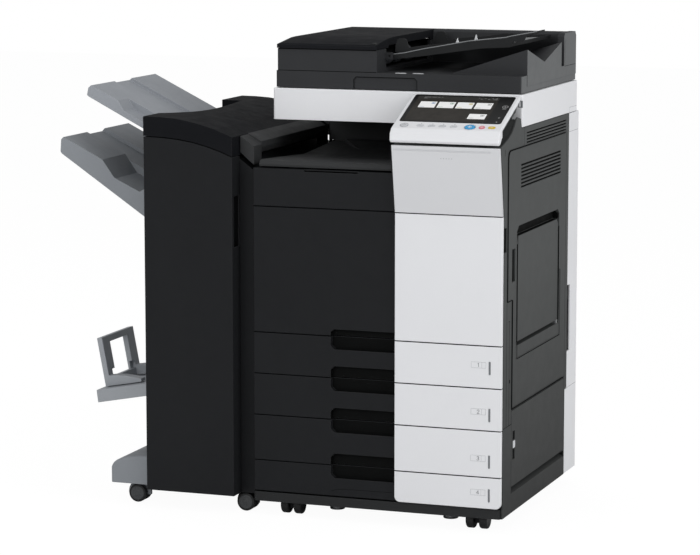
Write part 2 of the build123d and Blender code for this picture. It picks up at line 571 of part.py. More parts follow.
# ----------------------------------------------------------------- drawers
TRAY_WALL = 2
BIN_X0, BIN_X1, BIN_Y0, BIN_Y1 = 22, 546, 20, 560          # paper tray of each drawer
DRAWERS = {     # number: front bottom, front top, tray bottom, tray top, fascia slot middle
    1: (DRAWER_1_Z, LOWER_DOOR_Z, 350, 436, 389.5),
    2: (DRAWER_2_Z, DRAWER_1_Z, 251, 338, 280),
    3: (DRAWER_3_Z, DRAWER_2_Z, 142, 239, 171),
    4: (DRAWER_4_Z, DRAWER_3_Z, 66, 130, 92),
}
for number, (z0, z1, tray_z0, tray_z1, slot_z) in DRAWERS.items():
    low = z0 + REVEAL
    high = z1 - REVEAL
    with BuildPart() as drawer:
        block(DARK_X0, DARK_X1, 0, 20, low, high)
        round_face(drawer, Axis.Y, 0, 1.6)
        block(DARK_X0 + WALL, POCKET_X[0], WALL, 21, low + WALL, high - WALL, CUT)
        block(POCKET_X[1], DARK_X1 - WALL, WALL, 21, low + WALL, high - WALL, CUT)
        block(20, 548, 16, 20, low, high - 4)              # inner front wall
        grip_recess(z1, -1, 22, 31)
        if number < 4:                                     # head room for the grip below
            grip_recess(z0, 1, 19, 28)
        block(BIN_X0, BIN_X1, BIN_Y0, BIN_Y1, tray_z0, tray_z1)
        block(BIN_X0 + TRAY_WALL, BIN_X1 - TRAY_WALL, BIN_Y0 + TRAY_WALL, BIN_Y1 - TRAY_WALL,
              tray_z0 + TRAY_WALL, tray_z1 + 1, CUT)
        block(BIN_X0 - 1.8, BIN_X0, 40, 555, tray_z0 + 26, tray_z0 + 34)   # slide rails
        block(BIN_X1, BIN_X1 + 1.8, 40, 555, tray_z0 + 26, tray_z0 + 34)
    save(drawer, "drawer_%d" % number)

    with BuildPart() as fascia:
        block(LIGHT_X0, LIGHT_X1, FASCIA_Y, -0.2, low, high)
        if number == 4:                                    # big bottom corners
            fillet(fascia.edges().filter_by(Axis.Y).group_by(Axis.Z)[0], 13)
        round_face(fascia, Axis.Y, 0, 2)
        block(370, 600, FASCIA_Y + WALL, 0, low + 12, high - 12, CUT)
        with BuildSketch(front(FASCIA_Y - 1)):             # upright slot at the right
            with Locations((585.6, slot_z)):
                SlotOverall(32, 5, 90)
        extrude(amount=-2.2, mode=CUT)
    save(fascia, "drawer_%d_fascia" % number)

# -------------------------------------------------------------- side doors
JOINT_X = 614.2                     # bottom of the shallow joint lines

with BuildPart() as side_door:
    side_door_slab(597, 18, 0)
    round_face(side_door, Axis.X, -1, 1.0)
    block(596, 612, 33, 514, 716, 876, CUT)                # hollows in the inner face
    block(596, 612, 73, 514, 288, 386, CUT)
    prism_x(600, [(105, 425), (105, 692), (117, 704), (450, 704), (462, 692), (462, 425)],
            17, CUT)                                       # bypass tray opening
    air_slots(610, 617, 133, 470, 790, 4.6, 8.4, 7)
    block(603, 617, 65, 91, 579, 655, CUT)                 # grip
    block(JOINT_X, 617, 105, 467, 394, 395.6, CUT)         # joint line of the bypass unit
    block(JOINT_X, 617, 103.5, 105, 394, 700, CUT)
    block(JOINT_X, 617, 465.5, 467, 394, 556, CUT)
save(side_door, "side_door")

with BuildPart() as bypass_tray:
    prism_x(601.5, [(108.5, 433), (108.5, 668), (120, 680), (446, 680), (458, 668),
                    (458, 433)], 12)
    round_face(bypass_tray, Axis.X, -1, 1.0)
    block(600, 611, 118, 448, 445, 668, CUT)
    block(603, 606, 118, 448, 470, 473)                    # inner ribs
    block(603, 611, 282, 286, 445, 668)
save(bypass_tray, "bypass_tray")

with BuildPart() as lower_side_door:
    block(603, CABINET_W, LOW_SIDE_Y0 + 1.5, LOW_SIDE_Y1 - 1.5, 98, 278)
    round_face(lower_side_door, Axis.X, -1, 1.0)
    block(602, 612, 106, 512, 103, 273, CUT)
    block(608, 616, 80, 98, 161, 186, CUT)                 # latch slots
    block(608, 616, 80, 98, 207, 228, CUT)
save(lower_side_door, "lower_side_door")

# -------------------------------------------------------- engine internals
UNIT_X0, UNIT_D = 20, 400           # left end of the row, depth of every unit
TONER_PITCH, DRUM_PITCH = 82, 108

with BuildPart() as toner_cartridges:
    for i in range(4):
        x = UNIT_X0 + TONER_PITCH * i
        prism_y(40, [(x, 752), (x, 778), (x + 12, 790), (x + 58, 790), (x + 70, 778),
                     (x + 70, 752)], UNIT_D)
save(toner_cartridges, "toner_cartridges")

with BuildPart() as drum_units:
    for i in range(4):
        x = UNIT_X0 + DRUM_PITCH * i
        prism_y(60, [(x, 640), (x, 690), (x + 14, 704), (x + 86, 704), (x + 98, 690),
                     (x + 98, 640)], UNIT_D)
    # long unit with chamfered corners lying above the row
    prism_y(60, [(22, 716), (30, 708), (430, 708), (438, 716), (438, 730), (430, 738),
                 (30, 738), (22, 730)], UNIT_D)
save(drum_units, "drum_units")

with BuildPart() as waste_toner_box:
    block(40, 340, 28, 56, 470, 556)
    fillet(waste_toner_box.edges().filter_by(Axis.Y), 8)
    cylinder_z(70, 42, 556, 566, 8)                        # neck
save(waste_toner_box, "waste_toner_box")

with BuildPart() as fuser_unit:
    block(462, 552, 60, 500, 700, 790)
    fillet(fuser_unit.edges().filter_by(Axis.Y), 6)
    block(500, 515, 80, 480, 690, 800, CUT)                # paper path
save(fuser_unit, "fuser_unit")

# -------------------------------------------------------------- relay unit
RELAY_X0, RELAY_X1 = -38, -3
RELAY_BOTTOM = [(RELAY_X1, 870), (-10, 856), (-26, 850)]   # (x, z), shared lower edge

with BuildPart() as relay_unit:
    prism_y(22, [(RELAY_X0, 861), (RELAY_X0, 899), (-22, 889), (RELAY_X1, 876),
                 (RELAY_X1, 832), (-14, 840)], 48)
    prism_y(70, [(RELAY_X0, 861), (RELAY_X0, 901), (-22, 894), (RELAY_X1, 883),
                 *RELAY_BOTTOM], 495)
    prism_y(560, [(RELAY_X0, 861), (RELAY_X0, 926), (RELAY_X1, 926), *RELAY_BOTTOM], 38)
save(relay_unit, "relay_unit")


# ----------------------------------------------------------- finisher body
def caster_hood(x, y, radius):
    """Half-round hood over a twin wheel, with the web that carries its axle."""
    cylinder_y(x, y - 4, y + 4, FIN_WHEEL_R, radius)
    block(x - radius - 2, x + radius + 2, y - 5, y + 5, -10, 17, CUT)
    block(x - 7, x + 7, y - 4, y + 4, 14, 40)
    cylinder_y(x, y - 5, y + 5, FIN_WHEEL_R, AXLE_BORE_R, CUT)


LIFT_ARM_Y = (114, 390)             # middle of each lift arm of the main tray
SEAM = [                            # (x, z) of the joint under the top cover
    (-265, 896), (-215, 894.5), (-175, 891), (-140, 885.5), (-105, 877), (-70, 866),
    (-40, 854)]
CROWN = [                           # (x, z) of the top surface
    (-265, 942), (-225, 941.5), (-190, 939.5), (-155, 934.5), (-120, 927), (-85, 917),
    (-40, 900)]
CASE_OUTLINE = [                    # (x, z)
    (-262, FIN_Z0), (-262, 889), (-215, 888), (-175, 884), (-140, 879), (-105, 870),
    (-70, 859), (-43, 848), (-43, 846), (-6, 820), (-6, FIN_Z0)]

with BuildPart() as finisher_case:
    prism_y(24.5, CASE_OUTLINE, 573.5)
    block(-259, -46, 60, 595, FIN_Z0 + WALL, 800, CUT)
    block(-259, -9, 60, 595, FIN_Z0 + WALL, 780, CUT)
    for y in LIFT_ARM_Y:                                   # slots for the lift arms
        block(-266, -258, y - 4, y + 4, 380, 760, CUT)
    block(-266, -258, 150, 440, 300, 322, CUT)             # folded-sheet exit
    for y in FIN_CASTER_Y:
        caster_hood(FIN_CASTER_X["right"], y, 28)
    for x in TOP_HINGE_X:                                  # hinge clevises of the top cover
        block(x, x + 34, 596, 606, 835, 862)
        for cheek in (x, x + 28):
            block(cheek, cheek + 6, 598.2, 606, 860, TOP_PIN_Z)
            cylinder_x(cheek, cheek + 6, TOP_PIN_Y, TOP_PIN_Z, 3.8)
        cylinder_x(x + 3, x + 31, TOP_PIN_Y, TOP_PIN_Z, TOP_PIN_R)
save(finisher_case, "finisher_case")

with BuildPart() as finisher_top_cover:
    prism_y(FIN_Y0, SEAM + CROWN[::-1], FIN_Y1 - FIN_Y0)
    round_face(finisher_top_cover, Axis.Y, 0, 1.5)
    with BuildSketch(Plane.XY.offset(880)):                # scoop beside the upper tray
        with BuildLine():
            Spline((-270, 66), (-238, 92), (-208, 150), (-196, 240), (-200, 340),
                   (-214, 465))
            Polyline((-214, 465), (-290, 465), (-290, 66), (-270, 66))
        make_face()
    extrude(amount=80, mode=CUT)
    for clevis_x in TOP_HINGE_X:                           # hinge eyes at the back
        x = clevis_x + 8
        block(x, x + 18, 596, TOP_PIN_Y, 897, 901)
        cylinder_x(x, x + 18, TOP_PIN_Y, TOP_PIN_Z, 3.8)
        cylinder_x(x - 1, x + 19, TOP_PIN_Y, TOP_PIN_Z, TOP_PIN_R + PIN_CLEAR, CUT)
save(finisher_top_cover, "finisher_top_cover")

door_top = [(x, z - 2) for x, z in SEAM]                   # the door stops below the seam
with BuildPart() as finisher_door:
    prism_y(FIN_Y0, [(-264.5, FIN_Z0), (-264.5, 894), *door_top[1:], (-40, FIN_Z0)], 48)
    round_face(finisher_door, Axis.Y, 0, 2)
    block(-261.5, -43, FIN_Y0 + WALL, 30, FIN_Z0 + WALL, 846, CUT)
    block(-46, -38, -14, 18, 640, 760, CUT)                # grip cut in the right-hand edge
save(finisher_door, "finisher_door")

FOOT_X0, FOOT_X1, FOOT_Z0 = -371, -265.5, 51
with BuildPart() as finisher_foot:
    with BuildSketch(front(2)):
        with BuildLine():
            Polyline((FOOT_X0, 88), (FOOT_X0, FOOT_Z0), (FOOT_X1, FOOT_Z0), (FOOT_X1, 122))
            Spline((FOOT_X1, 122), (-284, 121), (-320, 117.5), (-346, 111), (-362, 102),
                   (FOOT_X0, 88))
        make_face()
    extrude(amount=-590)
    front_edges = finisher_foot.faces().sort_by(Axis.Y)[0].edges()
    # curved top and left edge of the front face
    fillet([e for e in front_edges if e.center().Z > 60 and e.center().X < -266], 8)
    for y in FIN_CASTER_Y:
        caster_hood(FIN_CASTER_X["left"], y, 29.5)
save(finisher_foot, "finisher_foot")

# ---------------------------------------------------------- finisher trays
SHEET_TRAY_Y0, SHEET_TRAY_D = 62, 384
CHANNEL_Y0, CHANNEL_D = 198, 103    # sloping channel along both trays
UPPER_TRAY_OUTLINE = [              # (x, z)
    (-438, 1004), (-445, 998), (-449, 980), (-446, 977), (-268, 886), (-266, 885),
    (-266, 919)]
MAIN_TRAY_OUTLINE = [               # (x, z)
    (-513, 877), (-519, 871), (-521, 842), (-518, 837), (-300, 691), (-267.5, 669),
    (-267.5, 755)]

with BuildPart() as upper_output_tray:
    prism_y(SHEET_TRAY_Y0, UPPER_TRAY_OUTLINE, SHEET_TRAY_D)
    prism_y(CHANNEL_Y0, [(-470, 1030), (-470, 1012), (-432, 993), (-255, 905),
                         (-255, 940)], CHANNEL_D, CUT)
    # lowered front part
    prism_y(61, [(-382, 990), (-352, 944), (-300, 918), (-258, 898), (-258, 960)], 62, CUT)
    block(-290, -262.9, 60, 66, 880, 930, CUT)
save(upper_output_tray, "upper_output_tray")

with BuildPart() as main_output_tray:
    prism_y(SHEET_TRAY_Y0, MAIN_TRAY_OUTLINE, SHEET_TRAY_D)
    prism_y(CHANNEL_Y0, [(-540, 900), (-540, 880), (-505, 863), (-260, 741),
                         (-260, 790)], CHANNEL_D, CUT)
    # lowered front part and its front edge
    prism_y(72, [(-413, 829), (-380, 781), (-314, 750), (-260, 726), (-260, 800)], 126, CUT)
    prism_y(61, [(-413, 829), (-380, 783), (-314, 752), (-304, 758), (-260, 742),
                 (-260, 800)], 20, CUT)
    # hollow underside
    prism_y(75, [(-500, 838), (-300, 704), (-275, 687), (-275, 650), (-520, 800)], 358, CUT)
    for y in LIFT_ARM_Y:                                   # lift arms reaching into the case
        block(-267.6, -259.5, y - 3, y + 3, 700, 750)
save(main_output_tray, "main_output_tray")

with BuildPart() as booklet_tray:
    prism_y(150, [(-475, 244), (-262.5, 283.5), (-262.5, 252.5), (-471, 213)], 290)
    prism_y(176, [(-462, 253), (-462, 247.5), (-300, 277.8), (-300, 290)], 238, CUT)
save(booklet_tray, "booklet_tray")

# The stopper stands on the booklet tray, whose slope rises to the right
STOPPER_ORIGIN = (-462, 178, 248.4)
UPHILL = (0.98276, 0, 0.18487)
SLOPE = Plane(origin=STOPPER_ORIGIN, x_dir=UPHILL, z_dir=(-0.18487, 0, 0.98276))
STOPPER_SIDE = Plane(origin=STOPPER_ORIGIN, x_dir=UPHILL, z_dir=(0, -1, 0))
STOPPER_W, STOPPER_T, STOPPER_MID = 188, 14, 6.5           # wall width, thickness, middle
RUNNER_W = 26
RUNNER_OUTLINE = [                  # (uphill, above the slope)
    (12, 0), (12, 26), (30, 25.5), (55, 21), (80, 14), (98, 8), (98, 0)]


def slope_slab(rise, middle, length, width, height, mode=Mode.ADD):
    """Slab square to the slope, starting at rise, centred across the stopper."""
    with BuildSketch(SLOPE.offset(rise), mode=Mode.PRIVATE) as base:
        with Locations((middle, STOPPER_W / 2)):
            Rectangle(length, width)
    extrude(base.sketch, amount=height, mode=mode)


with BuildPart() as booklet_stopper:
    slope_slab(0, STOPPER_MID, STOPPER_T, STOPPER_W, 122)
    for y in (0, STOPPER_W - RUNNER_W):                    # runners on both sides
        prism(STOPPER_SIDE.offset(-y), RUNNER_OUTLINE, -RUNNER_W)
    slope_slab(20, STOPPER_MID, 30, 104, 86, CUT)          # window in the wall
    slope_slab(-1, 56, 100, 136, 40, CUT)                  # clear space between the runners
    slope_slab(0, STOPPER_MID, STOPPER_T, STOPPER_W, 20)   # foot of the wall restored
save(booklet_stopper, "booklet_stopper")


# ----------------------------------------------------------------- casters
def save_cabinet_wheels(name, centers):
    """Twin wheels with their axles, at (x, y) places under the cabinet."""
    with BuildPart() as wheels:
        for x, y in centers:
            for x0 in (x - 26, x + 6):
                cylinder_x(x0, x0 + 20, y, WHEEL_R, WHEEL_R)
        fillet(wheels.edges().filter_by(GeomType.CIRCLE), 5)
        for x, y in centers:
            cylinder_x(x - 10, x + 10, y, WHEEL_R, AXLE_R)
    save(wheels, name)


for name, x in zip(("left", "right"), CASTER_X):
    with BuildPart() as fork:
        cylinder_z(x, 62, 46, 51.2, 24)
        block(x - 5, x + 5, 40, 72, 14, 46)
        cylinder_x(x - 6, x + 6, FRONT_CASTER_Y, WHEEL_R, AXLE_BORE_R, CUT)
    save(fork, "caster_fork_" + name)
    save_cabinet_wheels("caster_wheels_" + name, [(x, FRONT_CASTER_Y)])
save_cabinet_wheels("rear_wheels", [(x, REAR_CASTER_Y) for x in CASTER_X])

for name, x in FIN_CASTER_X.items():
    with BuildPart() as pair:
        for y in FIN_CASTER_Y:
            for y0 in (y - 20, y + 5):
                cylinder_y(x, y0, y0 + 15, FIN_WHEEL_R, FIN_WHEEL_R)
        fillet(pair.edges().filter_by(GeomType.CIRCLE), 3)
        for y in FIN_CASTER_Y:
            cylinder_y(x, y - 10, y + 10, FIN_WHEEL_R, AXLE_R)
    save(pair, "finisher_wheels_" + name)
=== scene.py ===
# An office copier with a document feeder on top and a finisher on its left.
# The fronts face -Y, the right side faces +X and the floor is z = 0.
# Places are in machine mm (cabinet from x = 0 to 615); point() turns them into scene metres.
# Bevel radii, lights and shader lengths are in metres.
import bpy, bmesh, math, random
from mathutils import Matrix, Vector


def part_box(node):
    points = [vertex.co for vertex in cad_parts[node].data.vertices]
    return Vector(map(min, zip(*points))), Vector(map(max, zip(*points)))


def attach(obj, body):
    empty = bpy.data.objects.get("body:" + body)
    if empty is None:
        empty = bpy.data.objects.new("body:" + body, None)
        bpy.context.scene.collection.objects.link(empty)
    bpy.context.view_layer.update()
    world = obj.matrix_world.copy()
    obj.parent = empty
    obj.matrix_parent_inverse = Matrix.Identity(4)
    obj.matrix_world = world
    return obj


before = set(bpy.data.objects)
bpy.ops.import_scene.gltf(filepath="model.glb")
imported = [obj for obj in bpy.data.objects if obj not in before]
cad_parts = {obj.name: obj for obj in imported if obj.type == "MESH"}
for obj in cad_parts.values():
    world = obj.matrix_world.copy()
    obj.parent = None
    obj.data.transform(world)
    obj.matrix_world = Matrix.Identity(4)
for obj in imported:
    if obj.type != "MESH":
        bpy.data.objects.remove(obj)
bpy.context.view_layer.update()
random.seed(7)                             # fixed, so that any random draw repeats
MIDDLE_X, MIDDLE_Y = 53.5, 297.085         # scene origin in the machine frame, mm
PANEL_ORIGIN = (0, 130, 1000.4)            # a point of the sloping control panel top
PANEL_RUN, PANEL_RISE = 0.92481, 0.38042   # its slope: y and z parts of one unit up the slope


def point(x, y, z):
    """A point of the machine frame, in mm, as metres in the scene."""
    return Vector(((x - MIDDLE_X) / 1000, (y - MIDDLE_Y) / 1000, z / 1000))


# ------------------------------------------------------------ shader building
def srgb(*rgb):
    """Linear RGBA from 0-255 sRGB values."""
    def linear(value):
        value /= 255.0
        return value / 12.92 if value <= 0.04045 else ((value + 0.055) / 1.055) ** 2.4
    return (*map(linear, rgb), 1.0)


class Shader:
    """The node tree of a material or world."""
    def __init__(self, owner):
        owner.use_nodes = True
        self.tree = owner.node_tree
        self.nodes = self.tree.nodes

    def feed(self, node, inputs):
        """Link each input given as a socket, and set the value of the others."""
        for key, value in inputs.items():
            if isinstance(value, bpy.types.NodeSocket):
                self.tree.links.new(value, node.inputs[key])
            else:
                node.inputs[key].default_value = value

    def add(self, kind, inputs=None, **settings):
        node = self.nodes.new("ShaderNode" + kind)
        for key, value in settings.items():
            setattr(node, key, value)
        self.feed(node, inputs or {})
        return node

    def noise(self, place, scale, detail, roughness=0.5):
        return self.add("TexNoise", {0: place, "Scale": scale, "Detail": detail,
                                     "Roughness": roughness}).outputs[0]

    def remap(self, value, from_min=0.0, from_max=1.0, to_min=0.0, to_max=1.0):
        return self.add("MapRange", {"Value": value, "From Min": from_min, "From Max": from_max,
                                     "To Min": to_min, "To Max": to_max}).outputs[0]

    def multiply(self, first, second):
        return self.add("Math", {0: first, 1: second}, operation="MULTIPLY").outputs[0]

    def axis(self, vector, letter):
        return self.add("SeparateXYZ", {0: vector}).outputs[letter]

    def blend(self, factor, first, second):
        return self.add("Mix", {"Factor": factor, "A": first, "B": second},
                        data_type="RGBA").outputs["Result"]


def painted_right_light(shader, place, normal, color, side):
    """Painted light: a lighter side color on faces turned right, near the right end, where the key
    light falls.
    """
    turned = shader.remap(shader.axis(normal, "X"), from_min=0.45, from_max=0.95)
    far = shader.remap(shader.axis(place, "X"), from_min=0.43, from_max=0.53)
    return shader.blend(shader.multiply(turned, far), color, side)


def underside_tint(shader, place, color):
    """Dark below the sloping panel top, except on the nose at the front."""
    y = shader.axis(place, "Y")
    depth = shader.add("VectorMath", {1: (0.0, PANEL_RISE, -PANEL_RUN)}, operation="DOT_PRODUCT")
    offset = shader.add("VectorMath", {0: place, 1: point(*PANEL_ORIGIN)}, operation="SUBTRACT")
    shader.feed(depth, {0: offset.outputs[0]})
    deep = shader.remap(depth.outputs["Value"], from_min=0.0064, from_max=0.0068)
    behind_nose = shader.remap(y, from_min=(-13.4 - MIDDLE_Y) / 1000,
                               from_max=(-12.9 - MIDDLE_Y) / 1000)
    return shader.blend(shader.multiply(deep, behind_nose), color, srgb(26, 27, 28))


def edge_highlight_color(color):
    """Color of the painted edge highlight: half way to a light grey, a dim one for dark plastics, a
    bright one for the others.
    """
    light = 0.30 if color[0] < 0.15 else 0.95
    return (*(value * 0.5 + light * 0.5 for value in color[:3]), 1)


def plastic(name, rgb, rough=0.5, grain=900.0, bump=0.12, var=0.05, edge_highlight=0.25, spec=0.45,
            coat=0.0, metal=0.0, stretch=None, bevel=0.0008, smudge=0.08, side=None,
            floor_shade=None, shell=False):
    """Moulded or painted surface: fine grain, color drift, smudged gloss, and lighter edges as a
    painted highlight.

    grain: noise scale, stretch: its scale by axis, var: color drift, wear: painted edge highlight,
    smudge: roughness drift, side: painted light at the right end, fall: painted floor shade,
    shell: dark under the panel top.
    """
    color = srgb(*rgb)
    material = bpy.data.materials.new(name)
    shader = Shader(material)
    shader.nodes.clear()
    output = shader.add("OutputMaterial")
    surface = shader.add("BsdfPrincipled")
    shader.feed(output, {0: surface.outputs[0]})
    place = shader.add("TexCoord").outputs["Object"]
    grain_place = place
    if stretch:
        grain_place = shader.add("Mapping", {0: place, "Scale": stretch}).outputs[0]
    fine = shader.noise(grain_place, scale=grain, detail=3.0, roughness=0.6)
    broad = shader.noise(place, scale=5.0, detail=4.0)
    smears = shader.noise(place, scale=28.0, detail=6.0, roughness=0.7)
    # edge mask for the painted edge highlight: rounded normal against the true normal
    rounded_normal = shader.add("Bevel", {"Radius": bevel}, samples=4).outputs[0]
    normal = shader.add("NewGeometry").outputs["Normal"]
    match = shader.add("VectorMath", {0: rounded_normal, 1: normal}, operation="DOT_PRODUCT")
    edge = shader.remap(match.outputs["Value"], from_min=0.995, from_max=0.80, to_max=edge_highlight)
    # color: broad drift times fine speckle, then the painted edge highlight
    drift = shader.remap(broad, from_min=0.3, from_max=0.7, to_min=1.0 - var, to_max=1.0 + var)
    speck = shader.remap(fine, from_min=0.25, from_max=0.75,
                         to_min=1.0 - var * 1.2, to_max=1.0 + var * 1.2)
    brightness = shader.multiply(drift, speck)
    # painted shade: darker towards the floor
    if floor_shade:
        height = shader.axis(place, "Z")
        lift = shader.remap(height, from_min=0.05, from_max=0.62, to_min=floor_shade, to_max=1.0)
        brightness = shader.multiply(brightness, lift)
    base = shader.add("VectorMath", {0: color[:3], "Scale": brightness}, operation="SCALE")
    # painted light: faces turned right get the lighter side color
    if side:
        tint = painted_right_light(shader, place, normal, color, srgb(*side))
        shader.feed(base, {0: tint})
    if shell:
        shader.feed(base, {0: underside_tint(shader, place, color)})
    # painted edge highlight: the edge mask blends the color toward a lighter grey
    paint = shader.blend(edge, base.outputs[0], edge_highlight_color(color))
    gloss = shader.remap(smears, from_min=0.3, from_max=0.7,
                         to_min=max(0.03, rough - smudge), to_max=min(1.0, rough + smudge))
    relief = shader.add("Bump", {"Strength": bump, "Distance": 0.0004, "Height": fine,
                                 "Normal": rounded_normal}).outputs[0]
    shader.feed(surface, {
        "Base Color": paint, "Roughness": gloss, "Normal": relief, "Specular IOR Level": spec,
        "Metallic": metal, "Coat Weight": coat, "Coat Roughness": 0.08})
    return material


def display_ink(name, rgb, var=0.05, spec=0.45):
    """A flat color shown or printed on the display."""
    return plastic(name, rgb, rough=0.4, grain=300, bump=0.02, var=var, edge_highlight=0.0, spec=spec)


def glass(name):
    material = bpy.data.materials.new(name)
    shader = Shader(material)
    noise = shader.add("TexNoise", {"Scale": 30}).outputs[0]
    shader.feed(shader.nodes["Principled BSDF"], {
        "Base Color": (0.5, 0.58, 0.57, 1), "Transmission Weight": 0.85,
        "Roughness": shader.remap(noise, to_min=0.02, to_max=0.09)})
    return material


# ------------------------------------------------------------------ materials
# the black plastics carry a strong painted highlight on their edges
BLACK = plastic("black_plastic", (28, 29, 31), rough=0.58, edge_highlight=0.30, spec=0.11, bevel=0.0014)
COVER = plastic("feeder_cover_plastic", (25, 26, 29), rough=0.66, edge_highlight=0.30, spec=0.05,
                bevel=0.0014)
FINISHER_TOP = plastic("finisher_top_plastic", (20, 21, 24), rough=0.66, edge_highlight=0.30, spec=0.06,
                       bevel=0.0014)
# a lighter copy of the black for the shaded delivery bay: painted light
BAY_LIGHTENED_BLACK = plastic("delivery_bay_lightened", (52, 53, 54), rough=0.6, edge_highlight=0.14, spec=0.10)
FEEDER_BLACK = plastic("black_feeder_plastic", (36, 37, 38), rough=0.6, edge_highlight=0.10, spec=0.10)
# its right-turned faces are painted lighter: painted light from the key on the right
FEEDER_BODY = plastic("feeder_body_plastic", (50, 51, 53), rough=0.58, edge_highlight=0.14, spec=0.10,
                      side=(102, 104, 105))
# near black: the color of black parts, and painted shade on the walls of wells, vents and grips
BLACK_AND_SHADE = plastic("near_black_and_shade", (9, 10, 10), rough=0.7, edge_highlight=0.03, spec=0.06)
# its lower parts are darkened towards the floor: painted shade
DARK = plastic("dark_grey_plastic", (73, 75, 75), rough=0.55, edge_highlight=0.16, spec=0.14, floor_shade=0.34,
               var=0.012, bump=0.02, smudge=0.03)
FEEDER_GREY = plastic("grey_feeder_plastic", (96, 98, 98), rough=0.52, edge_highlight=0.12, spec=0.16)
WHITE = plastic("white_plastic", (220, 221, 224), rough=0.42, var=0.010, edge_highlight=0.15, spec=0.3)
# a darker copy of the white for the upper door front: painted shade
SHADED_DOOR_WHITE = plastic("white_door_shaded", (205, 206, 209), rough=0.42, var=0.010, edge_highlight=0.15,
                     spec=0.3)
SHELL = plastic("white_shell_plastic", (222, 223, 226), rough=0.38, var=0.010, edge_highlight=0.15,
                spec=0.35, shell=True)
TRAY_GREY = plastic("tray_grey_plastic", (134, 138, 143), edge_highlight=0.2, spec=0.2)
LIGHT_TRAY = plastic("light_tray_plastic", (160, 164, 169), edge_highlight=0.2, spec=0.3)
UPPER_TRAY = plastic("upper_tray_plastic", (148, 152, 158), edge_highlight=0.2, spec=0.3)
UPPER_WHITE = plastic("upper_white_plastic", (227, 228, 231), rough=0.45, edge_highlight=0.1, spec=0.3,
                      var=0.015)
plastic("finisher_tray_plastic", (112, 115, 119), edge_highlight=0.2, spec=0.2)    # spare, on no piece
STEEL = plastic("frame_steel", (38, 39, 40), rough=0.45, grain=500, edge_highlight=0.15, metal=0.2,
                spec=0.2)
ZINC = plastic("zinc_steel", (160, 162, 165), rough=0.34, grain=700, stretch=(0.05, 1, 1),
               metal=1.0, var=0.08)
RUBBER = plastic("wheel_rubber", (24, 25, 26), rough=0.42, grain=1200, bump=0.2, edge_highlight=0.2,
                 spec=0.3)
HUB = plastic("wheel_hub", (62, 64, 66), rough=0.3, grain=1200, edge_highlight=0.2, spec=0.4)
PAD = plastic("pad_sheet", (226, 226, 222), rough=0.55, grain=1800, var=0.02, edge_highlight=0.05)
UNIT = plastic("unit_plastic", (52, 54, 58), spec=0.2)
KEY_GREY = plastic("key_grey", (196, 198, 202), rough=0.4, var=0.02, edge_highlight=0.1)
KEY_BLUE = plastic("key_blue", (40, 150, 205), rough=0.25, coat=0.4, var=0.03, edge_highlight=0.15)
KEY_RED = plastic("key_red", (214, 122, 134), rough=0.3, coat=0.3, var=0.03, edge_highlight=0.15)
KEY_YELLOW = plastic("key_yellow", (206, 176, 50), rough=0.3, coat=0.3, var=0.03, edge_highlight=0.15)
SCREEN = plastic("screen_glass", (8, 8, 9), rough=0.35, grain=60, bump=0.01, var=0.1, edge_highlight=0.0,
                 spec=0.25, smudge=0.05)
DISPLAY_BACK = plastic("display_back", (38, 35, 31), rough=0.35, grain=60, bump=0.01, var=0.25,
                       edge_highlight=0.0, spec=0.2)
DISPLAY_BAND = plastic("display_band", (50, 49, 47), rough=0.35, grain=200, bump=0.01, var=0.15,
                       edge_highlight=0.0, spec=0.2)
TILE = display_ink("display_tile", (243, 243, 243), var=0.012, spec=0.2)
TEXT = display_ink("display_mark", (150, 150, 150), spec=0.2)
ICON_BLUE = display_ink("icon_blue", (120, 150, 190))
ICON_GREEN = display_ink("icon_green", (130, 165, 140))
ICON_YELLOW = display_ink("icon_yellow", (200, 185, 110))
JOINT = plastic("joint_shadow", (14, 15, 15), rough=0.8, edge_highlight=0.0, spec=0.05)
WHITE_JOINT = plastic("white_joint_shadow", (150, 152, 156), rough=0.8, var=0.03, edge_highlight=0.0,
                      spec=0.1)
PRINT = plastic("grey_print", (150, 153, 158), rough=0.6, grain=1500, var=0.04, edge_highlight=0.0,
                spec=0.2)
LEVER = plastic("grey_lever", (112, 115, 119), rough=0.45, edge_highlight=0.2, spec=0.25)
TAB = plastic("light_tab", (205, 207, 210), rough=0.45, edge_highlight=0.1, spec=0.3)
# a light grey for rims; on the document tray's rim it is a painted highlight
RIM_GREY = plastic("light_rim_grey", (118, 120, 122), rough=0.4, edge_highlight=0.2, spec=0.3)
FEED_RUBBER = plastic("feed_rubber", (70, 72, 76), rough=0.8, grain=1600, bump=0.25, edge_highlight=0.05,
                      spec=0.15)
GROUND_STEEL = plastic("ground_shaft", (176, 178, 182), rough=0.22, grain=900,
                       stretch=(1, 0.04, 1), metal=1.0, var=0.06)
PAPER = plastic("paper_sheets", (232, 232, 228), rough=0.75, grain=2200,
                stretch=(0.2, 0.2, 14), bump=0.4, var=0.03, edge_highlight=0.0, spec=0.2)
BLUE = plastic("touch_point_blue", (48, 92, 150), rough=0.4, edge_highlight=0.15)
BRASS = plastic("contact_brass", (190, 160, 90), rough=0.3, metal=1.0, var=0.08)
CYAN = plastic("cap_cyan", (30, 140, 180), rough=0.4, edge_highlight=0.15)
MAGENTA = plastic("cap_magenta", (180, 50, 110), rough=0.4, edge_highlight=0.15)
YELLOW = plastic("cap_yellow", (210, 180, 40), rough=0.4, edge_highlight=0.15)
GLASS = glass("platen_glass")

